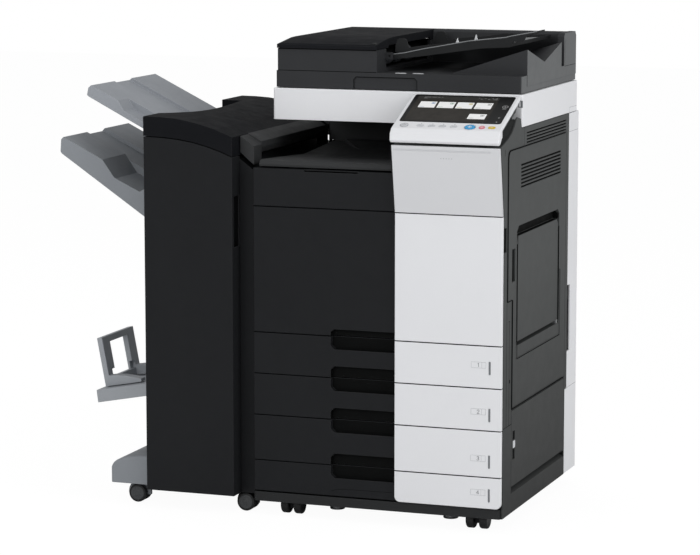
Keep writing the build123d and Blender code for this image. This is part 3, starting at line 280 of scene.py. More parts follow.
# ------------------------------------------------------------------ CAD pieces
# material, then the CAD nodes that take it
WEARERS = (
    (BLACK, "left_cover finisher_case upper_door lower_door finisher_door caster_fork_left "
            "caster_fork_right drawer_1 drawer_2 drawer_3 drawer_4"),
    (DARK, "right_cover side_door bypass_tray lower_side_door"),
    (WHITE, "lower_door_fascia drawer_1_fascia drawer_2_fascia drawer_3_fascia "
            "drawer_4_fascia"),
    (SHADED_DOOR_WHITE, "upper_door_fascia"),
    (UPPER_WHITE, "rear_cover scanner_case"),
    (SHELL, "panel_case"),
    (BAY_LIGHTENED_BLACK, "output_tray relay_unit"),
    (TRAY_GREY, "finisher_foot main_output_tray"),
    (UPPER_TRAY, "upper_output_tray"),
    (LIGHT_TRAY, "booklet_tray booklet_stopper"),
    (FINISHER_TOP, "finisher_top_cover"),
    (FEEDER_BODY, "lid_body"),
    (FEEDER_BLACK, "document_tray guide_front guide_rear"),
    (COVER, "feeder_cover"),
    (PAD, "pressure_pad"),
    (UNIT, "toner_cartridges drum_units waste_toner_box fuser_unit"),
    (STEEL, "base_frame"),
    (ZINC, "leveling_feet scan_carriage"),
    (GLASS, "platen_glass"),
    (SCREEN, "touch_screen"),
    (KEY_GREY, "energy_key key_1 key_2 key_3 key_4"),
    (KEY_BLUE, "start_key"),
    (KEY_RED, "stop_key"),
    (KEY_YELLOW, "reset_key"),
    (RUBBER, "caster_wheels_left caster_wheels_right rear_wheels finisher_wheels_left "
             "finisher_wheels_right"),
)
NODE_MATERIAL = {name: material for material, names in WEARERS for name in names.split()}

# rounding of a CAD node in metres (0 keeps only its own fillets)
USUAL_ROUND = 0.0005
ROUND = {"upper_output_tray": 0.0012, "booklet_tray": 0.0012, "booklet_stopper": 0.0010,
         "finisher_foot": 0.0010, "finisher_top_cover": 0.0010, "finisher_case": 0.0010,
         "relay_unit": 0.0010, "scanner_case": 0.0006, "base_frame": 0.0008, "lid_body": 0.0,
         "touch_screen": 0.0003, "upper_door_fascia": 0.0}
# nodes whose flat faces are not merged
NO_PLANAR = set("""feeder_cover guide_front guide_rear lid_body main_output_tray finisher_case
    left_cover output_tray relay_unit upper_door upper_output_tray document_tray""".split())


def modifier(ob, name, kind, **settings):
    added = ob.modifiers.new(name, kind)
    for key, value in settings.items():
        setattr(added, key, value)


def round_edges(ob, width, degrees, **settings):
    modifier(ob, "round", "BEVEL", width=width, segments=2, limit_method="ANGLE",
             angle_limit=math.radians(degrees), **settings)


def face_normals(ob):
    modifier(ob, "normals", "WEIGHTED_NORMAL", mode="FACE_AREA", weight=50, keep_sharp=True)


def dress(name, ob):
    """Give a CAD node its material and its clean, rounded edges."""
    if not ob.material_slots:
        ob.data.materials.append(NODE_MATERIAL[name])
    for slot in ob.material_slots:
        slot.material = NODE_MATERIAL[name]
    modifier(ob, "weld", "WELD", merge_threshold=0.00003)
    if name not in NO_PLANAR:
        modifier(ob, "planar", "DECIMATE", decimate_type="DISSOLVE",
                 angle_limit=math.radians(0.4))
    width = ROUND.get(name, USUAL_ROUND)
    if width:
        round_edges(ob, width, 34, use_clamp_overlap=False, miter_outer="MITER_SHARP")
    face_normals(ob)


for name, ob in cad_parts.items():
    dress(name, ob)


# -------------------------------------------------------------- working planes
class Plane:
    """An origin in machine mm, two directions, and out = across x up."""
    def __init__(self, origin, across, up):
        self.origin = Vector(origin)
        self.across, self.up = Vector(across).normalized(), Vector(up).normalized()
        self.out = self.across.cross(self.up)

    def at(self, x, y, z):
        return point(*(self.origin + self.across * x + self.up * y + self.out * z))


def front_at(y): return Plane((0, y, 0), (1, 0, 0), (0, 0, 1))       # outward -Y, (x, z)
def back_at(y): return Plane((0, y, 0), (-1, 0, 0), (0, 0, 1))       # outward +Y, (-x, z)
def right_at(x): return Plane((x, 0, 0), (0, 1, 0), (0, 0, 1))       # outward +X, (y, z)
def top_at(z): return Plane((0, 0, z), (1, 0, 0), (0, 1, 0))         # outward +Z, (x, y)


def along(start, end):
    """A plane at start whose outward direction points to end, and the distance."""
    start, end = Vector(start), Vector(end)
    out = (end - start).normalized()
    across = out.orthogonal().normalized()
    return Plane(start, across, out.cross(across)), (end - start).length


PANEL = Plane(PANEL_ORIGIN, (1, 0, 0), (0, PANEL_RUN, PANEL_RISE))   # (x, distance up the slope)
LEAN = Plane((0, -38, 896.5), (1, 0, 0), (0, -0.1690, 0.9856))       # upper white door


# ---------------------------------------------------------------- outlines
def rounded(x0, y0, x1, y1, radius, steps=4):
    """A rectangle with round corners."""
    corners = ((x1 - radius, y1 - radius, 0), (x0 + radius, y1 - radius, 90),
               (x0 + radius, y0 + radius, 180), (x1 - radius, y0 + radius, 270))
    outline = []
    for x, y, start in corners:
        for i in range(steps + 1):
            angle = math.radians(start + 90.0 * i / steps)
            outline.append((x + radius * math.cos(angle), y + radius * math.sin(angle)))
    return outline


def circle(x, y, radius, steps=28):
    return [(x + radius * math.cos(2 * math.pi * i / steps),
             y + radius * math.sin(2 * math.pi * i / steps)) for i in range(steps)]


# ------------------------------------------------------------------ shapes
# Each adds to a bmesh on a plane; low and high are heights over the plane.
def slab(bm, plane, outline, low, high):
    bottom = [bm.verts.new(plane.at(x, y, low)) for x, y in outline]
    top = [bm.verts.new(plane.at(x, y, high)) for x, y in outline]
    bm.faces.new(bottom[::-1])
    bm.faces.new(top)
    for i in range(len(outline)):
        j = (i + 1) % len(outline)
        bm.faces.new((bottom[i], bottom[j], top[j], top[i]))


def plates(plane, low, high, radius, boxes, steps=4):
    """Slab shapes on rounded rectangles, each given as x0, y0, x1, y1."""
    return [(slab, plane, rounded(*box, radius, steps), low, high) for box in boxes]


def band(bm, plane, outer, inner, low, high):
    """A closed frame between two outlines with the same number of points."""
    rows = [[bm.verts.new(plane.at(x, y, z)) for x, y in outline] for outline, z in
            ((outer, low), (outer, high), (inner, high), (inner, low))]
    for row, following in zip(rows, rows[1:] + rows[:1]):
        for i in range(len(outer)):
            j = (i + 1) % len(outer)
            bm.faces.new((row[i], row[j], following[j], following[i]))


def frame_of(bm, plane, x0, y0, x1, y1, wall, low, high, radius):
    inner = rounded(x0 + wall, y0 + wall, x1 - wall, y1 - wall, max(radius - wall, 0.05))
    band(bm, plane, rounded(x0, y0, x1, y1, radius), inner, low, high)


def ring(bm, plane, x, y, outer, inner, low, high):
    band(bm, plane, circle(x, y, outer, 32), circle(x, y, inner, 32), low, high)


def stroke(bm, plane, path, width, low, high):
    """A ribbon along a path."""
    left, right = [], []
    for i, (x, y) in enumerate(path):
        before = Vector(path[max(i - 1, 0)])
        after = Vector(path[min(i + 1, len(path) - 1)])
        run = (after - before).normalized()
        left.append((x - run.y * width / 2, y + run.x * width / 2))
        right.append((x + run.y * width / 2, y - run.x * width / 2))
    slab(bm, plane, left[::-1] + right, low, high)


def lathe(bm, plane, x, y, profile, steps=36):
    """Turned part: profile of (radius, height over the plane), from one end to the other."""
    rows = []
    for radius, z in profile:
        if radius < 1e-6:
            rows.append([bm.verts.new(plane.at(x, y, z))])
        else:
            rows.append([bm.verts.new(plane.at(a, b, z)) for a, b in circle(x, y, radius, steps)])
    for row, following in zip(rows, rows[1:]):
        for i in range(steps):
            j = i + 1
            corners = [row[i % len(row)], row[j % len(row)],
                       following[j % len(following)], following[i % len(following)]]
            corners = list(dict.fromkeys(corners))         # a one-point row repeats its corner
            if len(corners) > 2:
                bm.faces.new(corners)


def shaft(bm, start, end, radius):
    edge = 0.6
    plane, length = along(start, end)
    lathe(bm, plane, 0, 0, [(0, 0), (radius - edge, 0), (radius, edge), (radius, length - edge),
                            (radius - edge, length), (0, length)], 24)


def roller(bm, start, end, radius, sleeves):
    """A shaft with rubber sleeves, each given by its two distances from the start."""
    core, edge = 3.0, 0.5
    plane, length = along(start, end)
    profile = [(0, 0), (core, 0)]
    for near, far in sleeves:
        profile += [(core, near), (radius - edge, near), (radius, near + edge),
                    (radius, far - edge), (radius - edge, far), (core, far)]
    profile += [(core, length), (0, length)]
    lathe(bm, plane, 0, 0, profile, 24)


def screw(bm, plane, x, y):
    """Pan head with a raised cross."""
    radius, height = 3.4, 1.5
    lathe(bm, plane, x, y, [(radius, -0.5), (radius, height * 0.45),
                            (radius * 0.86, height * 0.8), (radius * 0.5, height),
                            (0.0, height)], 24)
    arm, half = radius * 0.55, radius * 0.11
    for dx, dy in ((arm, half), (half, arm)):
        slab(bm, plane, rounded(x - dx, y - dy, x + dx, y + dy, radius * 0.08, 2),
             height * 0.5, height * 1.06)


# pen lines of each digit, one unit high, centred on zero
DIGITS = {
    1: [[(-0.22, 0.28), (0.05, 0.5), (0.05, -0.5)]],
    2: [[(-0.3, 0.25), (-0.22, 0.42), (0, 0.5), (0.22, 0.42), (0.28, 0.22), (0.2, 0.02),
         (-0.3, -0.5), (0.32, -0.5)]],
    3: [[(-0.28, 0.36), (-0.1, 0.5), (0.14, 0.48), (0.26, 0.3), (0.2, 0.1), (-0.05, 0.03)],
        [(-0.05, 0.03), (0.22, -0.04), (0.3, -0.26), (0.16, -0.46), (-0.08, -0.5),
         (-0.3, -0.36)]],
    4: [[(0.14, -0.5), (0.14, 0.5), (-0.32, -0.18), (0.34, -0.18)]]}


def digit(bm, plane, number, x, y, size, width, low, high):
    for line in DIGITS[number]:
        for start, end in zip(line, line[1:]):
            start = Vector((x + start[0] * size, y + start[1] * size))
            end = Vector((x + end[0] * size, y + end[1] * size))
            overrun = (end - start).normalized() * width * 0.35
            stroke(bm, plane, [tuple(start - overrun), tuple(end + overrun)], width, low, high)


def piece(name, body, material, shapes, bevel=0.0002):
    """One object from (function, arguments...) shapes, riding on a body of the frame."""
    bm = bmesh.new()
    for build, *arguments in shapes:
        build(bm, *arguments)
    bmesh.ops.recalc_face_normals(bm, faces=bm.faces)
    mesh = bpy.data.meshes.new(name)
    bm.to_mesh(mesh)
    bm.free()
    mesh.materials.append(material)
    for polygon in mesh.polygons:
        polygon.use_smooth = True
    ob = bpy.data.objects.new(name, mesh)
    bpy.context.scene.collection.objects.link(ob)
    if bevel:
        round_edges(ob, bevel, 35)
    face_normals(ob)
    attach(ob, body)


# ------------------------------------------------------------ control panel
GLASS_Z = 0.2                              # screen surface over the panel plane
INK = 0.00004                              # bevel of printed marks, m
KEY_XS = (418, 445, 470.6, 497.5)          # the four grey keys
ENERGY_KEY, START_KEY, STOP_KEY = (379.5, -155.5), (536.5, -156.5), (564.7, -156)

for name, material, y0, y1 in (("display_back", DISPLAY_BACK, -129, -25),
                               ("display_band", DISPLAY_BAND, -24.6, -9)):
    piece(name, "panel", material,
          plates(PANEL, GLASS_Z - 0.2, GLASS_Z + 0.06, 1, [(371, y0, 567, y1)]),
          bevel=0.00002)
# x0, x1, y0 of the short bars in the band
BAND_MARKS = (
    (386, 402, -15.6), (404, 416, -15.6), (418, 424, -15.6), (427, 431, -15.6),
    (386, 394, -20.6), (516, 519, -13.6), (522, 527, -18.5), (531, 535, -15),
    (540, 545, -19), (549, 553, -14.6), (553, 562, -19.8))
piece("display_band_marks", "panel", TEXT,
      plates(PANEL, GLASS_Z, GLASS_Z + 0.12, 0.6,
             [(x0, y0, x1, y0 + 1.5) for x0, x1, y0 in BAND_MARKS])
      + [(ring, PANEL, 560, -14.5, 2.2, 1.2, GLASS_Z, GLASS_Z + 0.12)], bevel=INK)

# x, y, width, height: a row of four and one below
TILES = [(384 + 45 * i, -67, 40, 30) for i in range(4)] + [(517, -117, 42, 25)]
piece("display_tiles", "panel", TILE,
      plates(PANEL, GLASS_Z, GLASS_Z + 0.16, 1.2,
             [(x, y, x + width, y + height) for x, y, width, height in TILES]), bevel=0.00005)
ICON_INKS = (ICON_BLUE, ICON_GREEN, ICON_YELLOW, TEXT, TEXT)
for i, ((x, y, _, height), ink) in enumerate(zip(TILES, ICON_INKS), 1):
    top = y + height
    low = GLASS_Z + 0.1
    piece("tile_icon_%d" % i, "panel", ink,
          [(frame_of, PANEL, x + 28, top - 11, x + 37, top - 4, 1.2, low, GLASS_Z + 0.3, 1.4),
           (slab, PANEL, rounded(x + 30.5, top - 9, x + 34.5, top - 6.2, 0.8), low,
            GLASS_Z + 0.28),
           (slab, PANEL, rounded(x + 3, y + 4, x + 15, y + 5.4, 0.6), low, GLASS_Z + 0.26)],
          bevel=INK)
ON_GLASS = (GLASS_Z, GLASS_Z + 0.14)
piece("screen_touch_keys", "panel", TEXT,
      [(ring, PANEL, 591, -53, 7.2, 5.6, *ON_GLASS), (slab, PANEL, circle(591, -53, 2.6), *ON_GLASS),
       (slab, PANEL, rounded(586, -64.5, 596, -62.6, 0.9), *ON_GLASS),
       (ring, PANEL, 591, -107, 2.6, 1.5, *ON_GLASS),
       (slab, PANEL, circle(591, -107, 0.9), *ON_GLASS),
       (slab, PANEL, circle(591, -128, 2.0), *ON_GLASS)], bevel=INK)
piece("panel_key_ticks", "panel", PRINT,
      plates(PANEL, -0.2, 0.12, 0.6, [(x - 1.2, -147.0, x + 1.8, -145.6) for x in KEY_XS])
      + [(ring, PANEL, *ENERGY_KEY, 10.0, 9.2, -0.2, 0.1),
         (ring, PANEL, *START_KEY, 13.9, 13.3, -0.2, 0.08)], bevel=INK)
piece("energy_mark", "energy_key", PRINT,
      [(ring, PANEL, *ENERGY_KEY, 4.0, 3.3, 0.9, 1.12),
       (slab, PANEL, rounded(379.1, -155, 379.9, -150.6, 0.3), 0.9, 1.12)], bevel=INK)
for i, x in enumerate(KEY_XS, 1):
    piece("key_mark_%d" % i, "key_%d" % i, PRINT,
          plates(PANEL, 0.9, 1.12, 0.4, [(x - 4.2, -156.0, x + 4.2, -155.0)]), bevel=INK)
DIAMOND = [(534.4, -156.5), (536.5, -159.2), (538.6, -156.5), (536.5, -153.8)]
piece("start_mark", "start_key", TILE,
      [(ring, PANEL, *START_KEY, 4.6, 3.9, 1.2, 1.5), (slab, PANEL, DIAMOND, 1.2, 1.5)],
      bevel=INK)
piece("stop_mark", "stop_key", TILE,
      [(ring, PANEL, *STOP_KEY, 3.0, 2.4, 1.0, 1.3),
       (slab, PANEL, rounded(564.3, -157.4, 565.1, -154.6, 0.3), 1.0, 1.3)], bevel=INK)
piece("reset_mark", "reset_key", TILE,
      [(stroke, PANEL, [(585.5, -154), (588, -157.4), (590.5, -154)], 0.7, 1.0, 1.3)], bevel=INK)
LIP_PROFILE = [(-33.2, 903.5), (-24, 905.0), (-25.5, 908.0), (-33.8, 906.5)]    # y, z
piece("panel_shadow_lip", "panel", PRINT, [(slab, right_at(356), LIP_PROFILE, 0, 253)])
piece("panel_stay", "cabinet", LEVER,
      [(frame_of, front_at(139.9), 603.5, 974.5, 615, 990.5, 2.4, -0.5, 0.14, 0.04),
       (slab, front_at(139.9), rounded(605, 976, 613.6, 989, 0.8), -0.5, 0.08)], bevel=0.0003)

# ------------------------------------------------------------- white fronts
FRONT = front_at(0)
FASCIA = front_at(-10)                     # face of the white fronts
NUMBER_X = 559

piece("door_dots", "upper_door", PRINT,
      [(lathe, LEAN, 474 + 6.4 * i, -27.5, [(1.0, -0.3), (1.0, 0.06), (0.7, 0.16), (0, 0.18)], 16)
       for i in range(5)], bevel=0.0)
# heights of the number plate and the paper gauge, drawer by drawer
PLATES_AND_GAUGES = ((396.0, 389.5), (287.5, 280), (178.5, 171), (98.5, 92))
for i, (z, gauge_z) in enumerate(PLATES_AND_GAUGES, 1):
    body = "drawer_%d" % i
    piece("number_plate_%d" % i, body, PRINT,
          [(frame_of, FASCIA, 541.5, z - 7, 577, z + 7, 0.45, -0.3, 0.1, 0.8),
           (slab, FASCIA, rounded(566.6, z - 6.8, 567.0, z + 6.8, 0.1, 1), -0.3, 0.1)],
          bevel=0.00003)
    piece("number_%d" % i, body, LEVER,
          [(digit, FASCIA, i, NUMBER_X, z, 8.6, 1.1, -0.3, 0.14)], bevel=0.00003)
    piece("paper_gauge_%d" % i, body, LEVER,
          [(slab, FASCIA, rounded(583.5, gauge_z - 15.4, 587.7, gauge_z + 15.4, 2.0, 6),
            -2.4, -0.35),
           (slab, FASCIA, rounded(584.4, gauge_z - 4, 586.8, gauge_z + 5, 1.1, 5), -1.0, 0.25)],
          bevel=0.00025)


def fascia_top(body):
    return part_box(body + "_fascia")[1].z * 1000.0


# dark strips on the top edges of the white fronts: painted shade in the joints
GAP_SHADE_OUTLINE = [(357.5, -9.0), (612.5, -9.0), (612.5, -1.0), (357.5, -1.0)]
for i, body in enumerate(("drawer_1", "drawer_2", "drawer_3", "drawer_4", "lower_door"), 1):
    piece("top_gap_shade_%d" % i, body, JOINT,
          [(slab, top_at(fascia_top(body)), GAP_SHADE_OUTLINE, -0.3, 0.9)], bevel=0.0001)

# wells behind the grips: one cut down into each drawer, its hood in the front above; their
# near-black walls are painted shade
GRIP_LEFT, GRIP_BEND, GRIP_RIGHT = 196, 204.6, 354.6
for i in range(1, 5):
    z = fascia_top("drawer_%d" % i) + 1.0
    well = [(GRIP_LEFT, z - 2.0), (GRIP_LEFT, z - 21.5), (GRIP_BEND, z - 30.2),
            (GRIP_RIGHT, z - 30.2), (GRIP_RIGHT, z - 2.0)]
    ledge = [(205, z - 31.0), (GRIP_RIGHT, z - 31.0), (GRIP_RIGHT, z - 30.2), (205, z - 30.2)]
    piece("grip_well_%d" % i, "drawer_%d" % i, BLACK_AND_SHADE,
          [(slab, FRONT, well, -12.9, -12.2), (slab, FRONT, ledge, -12.6, -2.6)], bevel=0.0001)
    above, bend, side_rise, rise = "drawer_%d" % (i - 1), GRIP_BEND, 18.4, 27.2
    if i == 1:
        above, bend, side_rise, rise = "lower_door", 203.6, 9.0, 16.2
    side_z, roof_z = z + side_rise, z + rise
    hood = [(GRIP_LEFT, side_z), (bend, roof_z), (GRIP_RIGHT, roof_z), (GRIP_RIGHT, z + 1.6),
            (GRIP_LEFT, z + 1.6)]
    roof = [(GRIP_BEND, roof_z), (GRIP_RIGHT, roof_z), (GRIP_RIGHT, roof_z + 0.7),
            (GRIP_BEND, roof_z + 0.7)]
    cheek = [(195.1, z + 1.6), (195.9, z + 1.6), (195.9, side_z), (195.1, side_z)]
    piece("grip_hood_%d" % i, above, BLACK_AND_SHADE,
          [(slab, FRONT, hood, -12.9, -12.2), (slab, FRONT, roof, -12.6, -0.8),
           (slab, FRONT, cheek, -12.6, -1.0)], bevel=0.0001)

piece("foot_arc", "drawer_4", JOINT,
      [(stroke, FRONT, [(196, 71.5), (205, 75.5), (222, 78), (260, 79), (355, 79)],
        0.9, -0.5, 0.1)], bevel=0.0)

# --------------------------------------------------------------- right side
SIDE = right_at(615)
DOOR = right_at(617)

piece("side_joints", "cabinet", JOINT,
      plates(SIDE, -0.4, 0.1, 0.8, [(2.7, 875.7, 4.5, 890.5)])
      + plates(SIDE, -0.4, 0.08, 0.2,
               [(156.2, 886.5, 157.0, 927.8), (46.0, 247, 48.0, 491), (25.4, 247, 27.4, 536),
                (40, 490.2, 52, 491.6), (2.4, 246.4, 68, 247.9), (65.6, 247, 66.5, 281)], 2)
      + plates(SIDE, -0.4, 0.1, 1.0, [(47, 346, 55, 354)]), bevel=0.0)
piece("rear_joints", "cabinet", WHITE_JOINT,
      plates(SIDE, -0.4, 0.06, 0.2,
             [(543.5, 882.3, 626, 883.1), (528, 249.4, 626, 250.3),
              (541.6, 930.5, 542.4, 942.2), (542, 941.8, 608.5, 942.5)], 2), bevel=0.0)
# near-black plates behind the vents, grips and wells: painted shade
piece("vent_back_upper", "cabinet", BLACK_AND_SHADE, plates(SIDE, -6.6, -4.6, 2, [(170, 884.8, 522, 919)]))
piece("vent_back_door", "side_door", BLACK_AND_SHADE,
      plates(SIDE, -5.0, -3.2, 3, [(120, 784, 482, 850)])
      + plates(SIDE, -3.4, -3.0, 0.5,
               [(150 + 40 * i, 786, 152 + 40 * i, 848) for i in range(9)], 2))
piece("grip_back", "side_door", BLACK_AND_SHADE,
      plates(SIDE, -12.0, -4.0, 0.8, [(65.2, 579.2, 90.8, 654.8)]))
piece("finger_well", "cabinet", BLACK_AND_SHADE,
      plates(SIDE, -5.0, -2.6, 0.8, [(1.4, 655.3, 21.8, 710.7)]))
piece("bypass_well", "side_door", BLACK_AND_SHADE,
      plates(SIDE, -14.6, -13.6, 1.0, [(106, 681.5, 461, 703.0)])
      + [(slab, front_at(120), [(600.4, 703.2), (600.4, 704.0), (614.4, 704.0), (614.4, 703.2)],
          -326, 0),
         (slab, front_at(452), [(601, 682), (614.4, 682), (614.4, 692), (601, 702)], -9.2, 0)]
      + plates(SIDE, -14.6, -13.6, 1.0, [(106, 425.6, 461, 432.4)]))
# a near-black strip along the tray's top edge: painted shade in the gap
piece("bypass_top_edge", "bypass_tray", BLACK_AND_SHADE,
      [(slab, top_at(680), [(601.6, 121), (612.4, 121), (612.4, 445), (601.6, 445)], -0.4, 0.3)],
      bevel=0.0001)
piece("bypass_lip", "bypass_tray", RIM_GREY,
      [(slab, front_at(446), [(604, 424.5), (613.6, 424.5), (614.0, 434), (611, 434),
                              (608, 428.5), (604, 427.5)], -9, 0)], bevel=0.0004)

door_low, door_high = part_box("side_door")
door_front = door_low.y * 1000 + MIDDLE_Y
door_back = door_high.y * 1000 + MIDDLE_Y
door_top = door_high.z * 1000
# y, z: along the top to the front, down around the lower front notch and back below
DOOR_GAP_SHADE = [
    (door_back - 16, door_top + 0.4), (door_front + 17, door_top + 0.4),
    (door_front + 8, door_top - 2.1), (door_front + 2.0, door_top - 8.5),
    (door_front - 0.3, door_top - 17), (door_front - 0.3, 537.6), (67.7, 537.6),
    (67.7, 282.6), (door_back - 16, 282.6)]
# a dark strip along the side door's joint: painted shade
piece("side_door_gap_shade", "side_door", JOINT,
      [(stroke, right_at(616.7), DOOR_GAP_SHADE, 2.2, -3.0, 0.42)], bevel=0.0)
piece("bypass_joints", "side_door", JOINT,
      [(stroke, DOOR, [(462.6, 556), (466.3, 556), (466.3, 394.8), (104.2, 394.8), (104.2, 684)],
        1.9, -0.4, 0.12)]
      + plates(DOOR, -9.0, -1.6, 0.3, [(105.3, 433.5, 108.1, 662), (458.5, 433.5, 461.7, 662)], 2),
      bevel=0.0)
piece("bay_end_plate", "cabinet", BLACK_AND_SHADE,
      [(slab, front_at(508), [(-27, 792), (1.4, 792), (1.4, 884), (-27, 905)], -3, 0),
       (slab, front_at(508), [(-24, 800), (-3, 800), (-3, 803), (-24, 803)], -1, 4)],
      bevel=0.0003)
piece("latch_knob", "lower_side_door", TAB,
      [(slab, SIDE, rounded(82, 188, 97, 205, 1.6), -2.0, 1.2),
       (slab, SIDE, rounded(84.5, 191, 94.5, 202, 1.0), 0.5, 2.2)], bevel=0.0005)
# near-black backs of the latch recesses: painted shade
piece("latch_wells", "lower_side_door", BLACK_AND_SHADE,
      plates(SIDE, -6.8, -2.2, 0.6, [(80.3, 161.3, 97.7, 185.7), (80.3, 207.3, 97.7, 227.7)]))
piece("hinge_knuckles", "cabinet", DARK,
      [(shaft, (613.2, 545, z), (613.2, 545, z + 26), 1.7) for z in (345, 470)], bevel=0.0)

# --------------------------------------------------------- document feeder
FEED_PROFILE = [(150, 1053), (150, 1092), (160, 1096.5), (214, 1096.5), (232, 1086),
                (236, 1070), (236, 1053)]                                       # x, z
piece("feed_unit", "document_feeder", BLACK_AND_SHADE,
      [(slab, front_at(180), FEED_PROFILE, -400, 0)], bevel=0.001)
piece("feed_rollers", "document_feeder", FEED_RUBBER,
      [(roller, (241, 190, 1066), (241, 570, 1066), 8,
        [(60, 90), (130, 160), (220, 250), (290, 320)])], bevel=0.0)
piece("separation_rollers", "document_feeder", FEED_RUBBER,
      [(roller, (243, 330, 1087), (243, 430, 1087), 8.5, [(20, 45), (55, 80)])], bevel=0.0)
piece("exit_idlers", "document_feeder", TAB,
      plates(top_at(1045), -0.5, 1.2, 1.4, [(302, 148, 328, 154), (344, 150, 370, 156)]),
      bevel=0.0004)
piece("housing_joints", "document_feeder", JOINT,
      plates(front_at(147), -0.4, 0.15, 0.2,
             [(10.0, 1044.9, 256.0, 1046.5), (10.0, 1095.9, 256.0, 1097.6)], 2)
      + [(stroke, front_at(145), [(200.4, 1007), (200.4, 1028.4), (205.8, 1034.7),
                                  (350.4, 1034.7), (356.6, 1028.4), (356.6, 1007)],
          1.5, -0.4, 0.12)], bevel=0.0)
piece("feeder_joints", "document_feeder", JOINT,
      plates(right_at(612), -0.5, 0.12, 0.2,
             [(506.0, 1046, 507.2, 1106), (506.5, 1044.2, 607, 1045.2)], 2), bevel=0.0)
# light grey tabs on the front guide, a painted highlight: x, bottom, tip
for i, (x, z0, z1) in enumerate(((428.5, 1111.5, 1125.0), (474.0, 1117.5, 1134.5)), 1):
    piece("guide_highlight_tab_%d" % i, "guide_front", TAB,
          [(slab, front_at(229), [(x - 5.5, z0), (x + 5.5, z0), (x + 1.2, z1 - 3), (x + 0.5, z1),
                                  (x - 0.5, z1), (x - 1.6, z1 - 4)], -1.6, 0.5)], bevel=0.0003)
RIM_LINE = [(262, 1084.5), (300, 1089.5), (353, 1101), (400, 1109.5), (460, 1121),
            (552, 1131.5), (560, 1134), (626.5, 1146.8)]                        # x, z
# a light grey strip along the tray's front rim: painted highlight
piece("tray_rim", "document_tray", RIM_GREY,
      [(slab, front_at(215), RIM_LINE + [(x, z - 2.2) for x, z in RIM_LINE[::-1]], -5.2, 0.3)],
      bevel=0.0003)
piece("tray_plate", "document_tray", RIM_GREY,
      [(slab, front_at(222), [(500, 1109.4), (552, 1112.3), (552, 1113.0), (500, 1110.2)],
        -300, 0)])
piece("cover_grip", "feeder_cover", FEEDER_BLACK,
      [(slab, front_at(146), [(238, 1102), (238, 1110), (243, 1113.6), (252, 1113.6),
                              (257, 1110), (257.6, 1102)], -26, 0)], bevel=0.0014)

# ---------------------------------------------------------- inside the drawers
STACKS = ((350, 26), (251, 48), (142, 60), (66, 20))    # floor height, stack height
LIFT_SHIFTS = (0.0, 0.7, -0.4, 0.5, -0.6, 0.3)          # each lift of sheets lies slightly off
for i, (floor_z, height) in enumerate(STACKS, 1):
    body = "drawer_%d" % i
    plane = top_at(floor_z)
    piece("paper_stack_%d" % i, body, PAPER,
          [(slab, plane, [(96 + shift, 120 - shift), (470 + shift, 120 - shift),
                          (470 + shift, 417 - shift), (96 + shift, 417 - shift)],
            6 + height * k / 6.0, 6 + height * (k + 1) / 6.0)
           for k, shift in enumerate(LIFT_SHIFTS)])
    piece("lift_plate_%d" % i, body, STEEL,
          [(slab, plane, rounded(60, 60, 500, 470, 8), 3.0, 5.6),
           (frame_of, plane, 92, 116, 474, 421, 2, 5.2, 6.0, 3)], bevel=0.0004)
    low, top = floor_z + 2, floor_z + min(height + 24, 58)
    side_guide = [(180, low), (184, top), (196, top + 4), (352, top + 4), (364, top), (368, low)]
    end_guide = [(240, low), (244, top), (296, top), (300, low)]
    piece("paper_guides_%d" % i, body, DARK,
          [(slab, front_at(116), side_guide, 0, 3), (slab, front_at(424.5), side_guide, 0, 3),
           (slab, right_at(88), end_guide, 0, 3.4)]
          + plates(plane, 2.2, 4.6, 3, [(168, 100, 380, 116), (168, 424, 380, 440)]),
          bevel=0.0006)
piece("pickup_rollers", "cabinet", FEED_RUBBER,
      [(roller, (552.6, 200, z), (552.6, 330, z), 6.4, [(10, 35), (60, 90)])
       for z in (344, 245)], bevel=0.0)

# ------------------------------------------------------- inside the cabinet
UNITS = front_at(60)                       # front ends of the drums, belt and fuser
INNER = front_at(24)
BOX_FACE = front_at(28)
CAP_PROFILE = [(0, -1), (15, -1), (15, 3.4), (13.6, 4.8), (8, 4.8), (7, 3.6), (0, 3.6)]

for i, material in enumerate((YELLOW, MAGENTA, CYAN, BLACK_AND_SHADE)):
    x = 55 + 82 * i
    piece("toner_cap_%d" % (i + 1), "cabinet", material,
          [(lathe, front_at(40), x, 770, CAP_PROFILE, 36),
           (slab, front_at(40), rounded(x - 13, 768.2, x + 13, 771.8, 1.6), 3, 7.4)],
          bevel=0.0004)
DRUM_XS = range(20, 345, 108)
piece("drum_handles", "cabinet", LEVER,
      plates(UNITS, -1, 5, 5, [(x + 30, 652, x + 68, 668) for x in DRUM_XS])
      + [(frame_of, UNITS, x + 34, 655, x + 64, 665, 2.2, 4, 7.5, 3) for x in DRUM_XS],
      bevel=0.0008)
piece("belt_handle", "cabinet", BLUE,
      [(slab, UNITS, rounded(200, 713, 262, 731, 5), -1, 6),
       (frame_of, UNITS, 206, 716, 256, 728, 2.4, 5, 9, 4)], bevel=0.0008)
piece("waste_box_face", "cabinet", PAD,
      [(frame_of, BOX_FACE, 52, 482, 328, 544, 3, -0.5, 1.0, 6),
       (slab, BOX_FACE, rounded(150, 500, 240, 526, 8), -0.5, 2.2)], bevel=0.0006)
piece("fuser_levers", "cabinet", BLUE,
      [(slab, UNITS, [(470, 706), (492, 706), (492, 724), (484, 730), (470, 730)], -1, 7),
       (slab, UNITS, [(522, 706), (544, 706), (544, 730), (530, 730), (522, 724)], -1, 7)],
      bevel=0.0012)
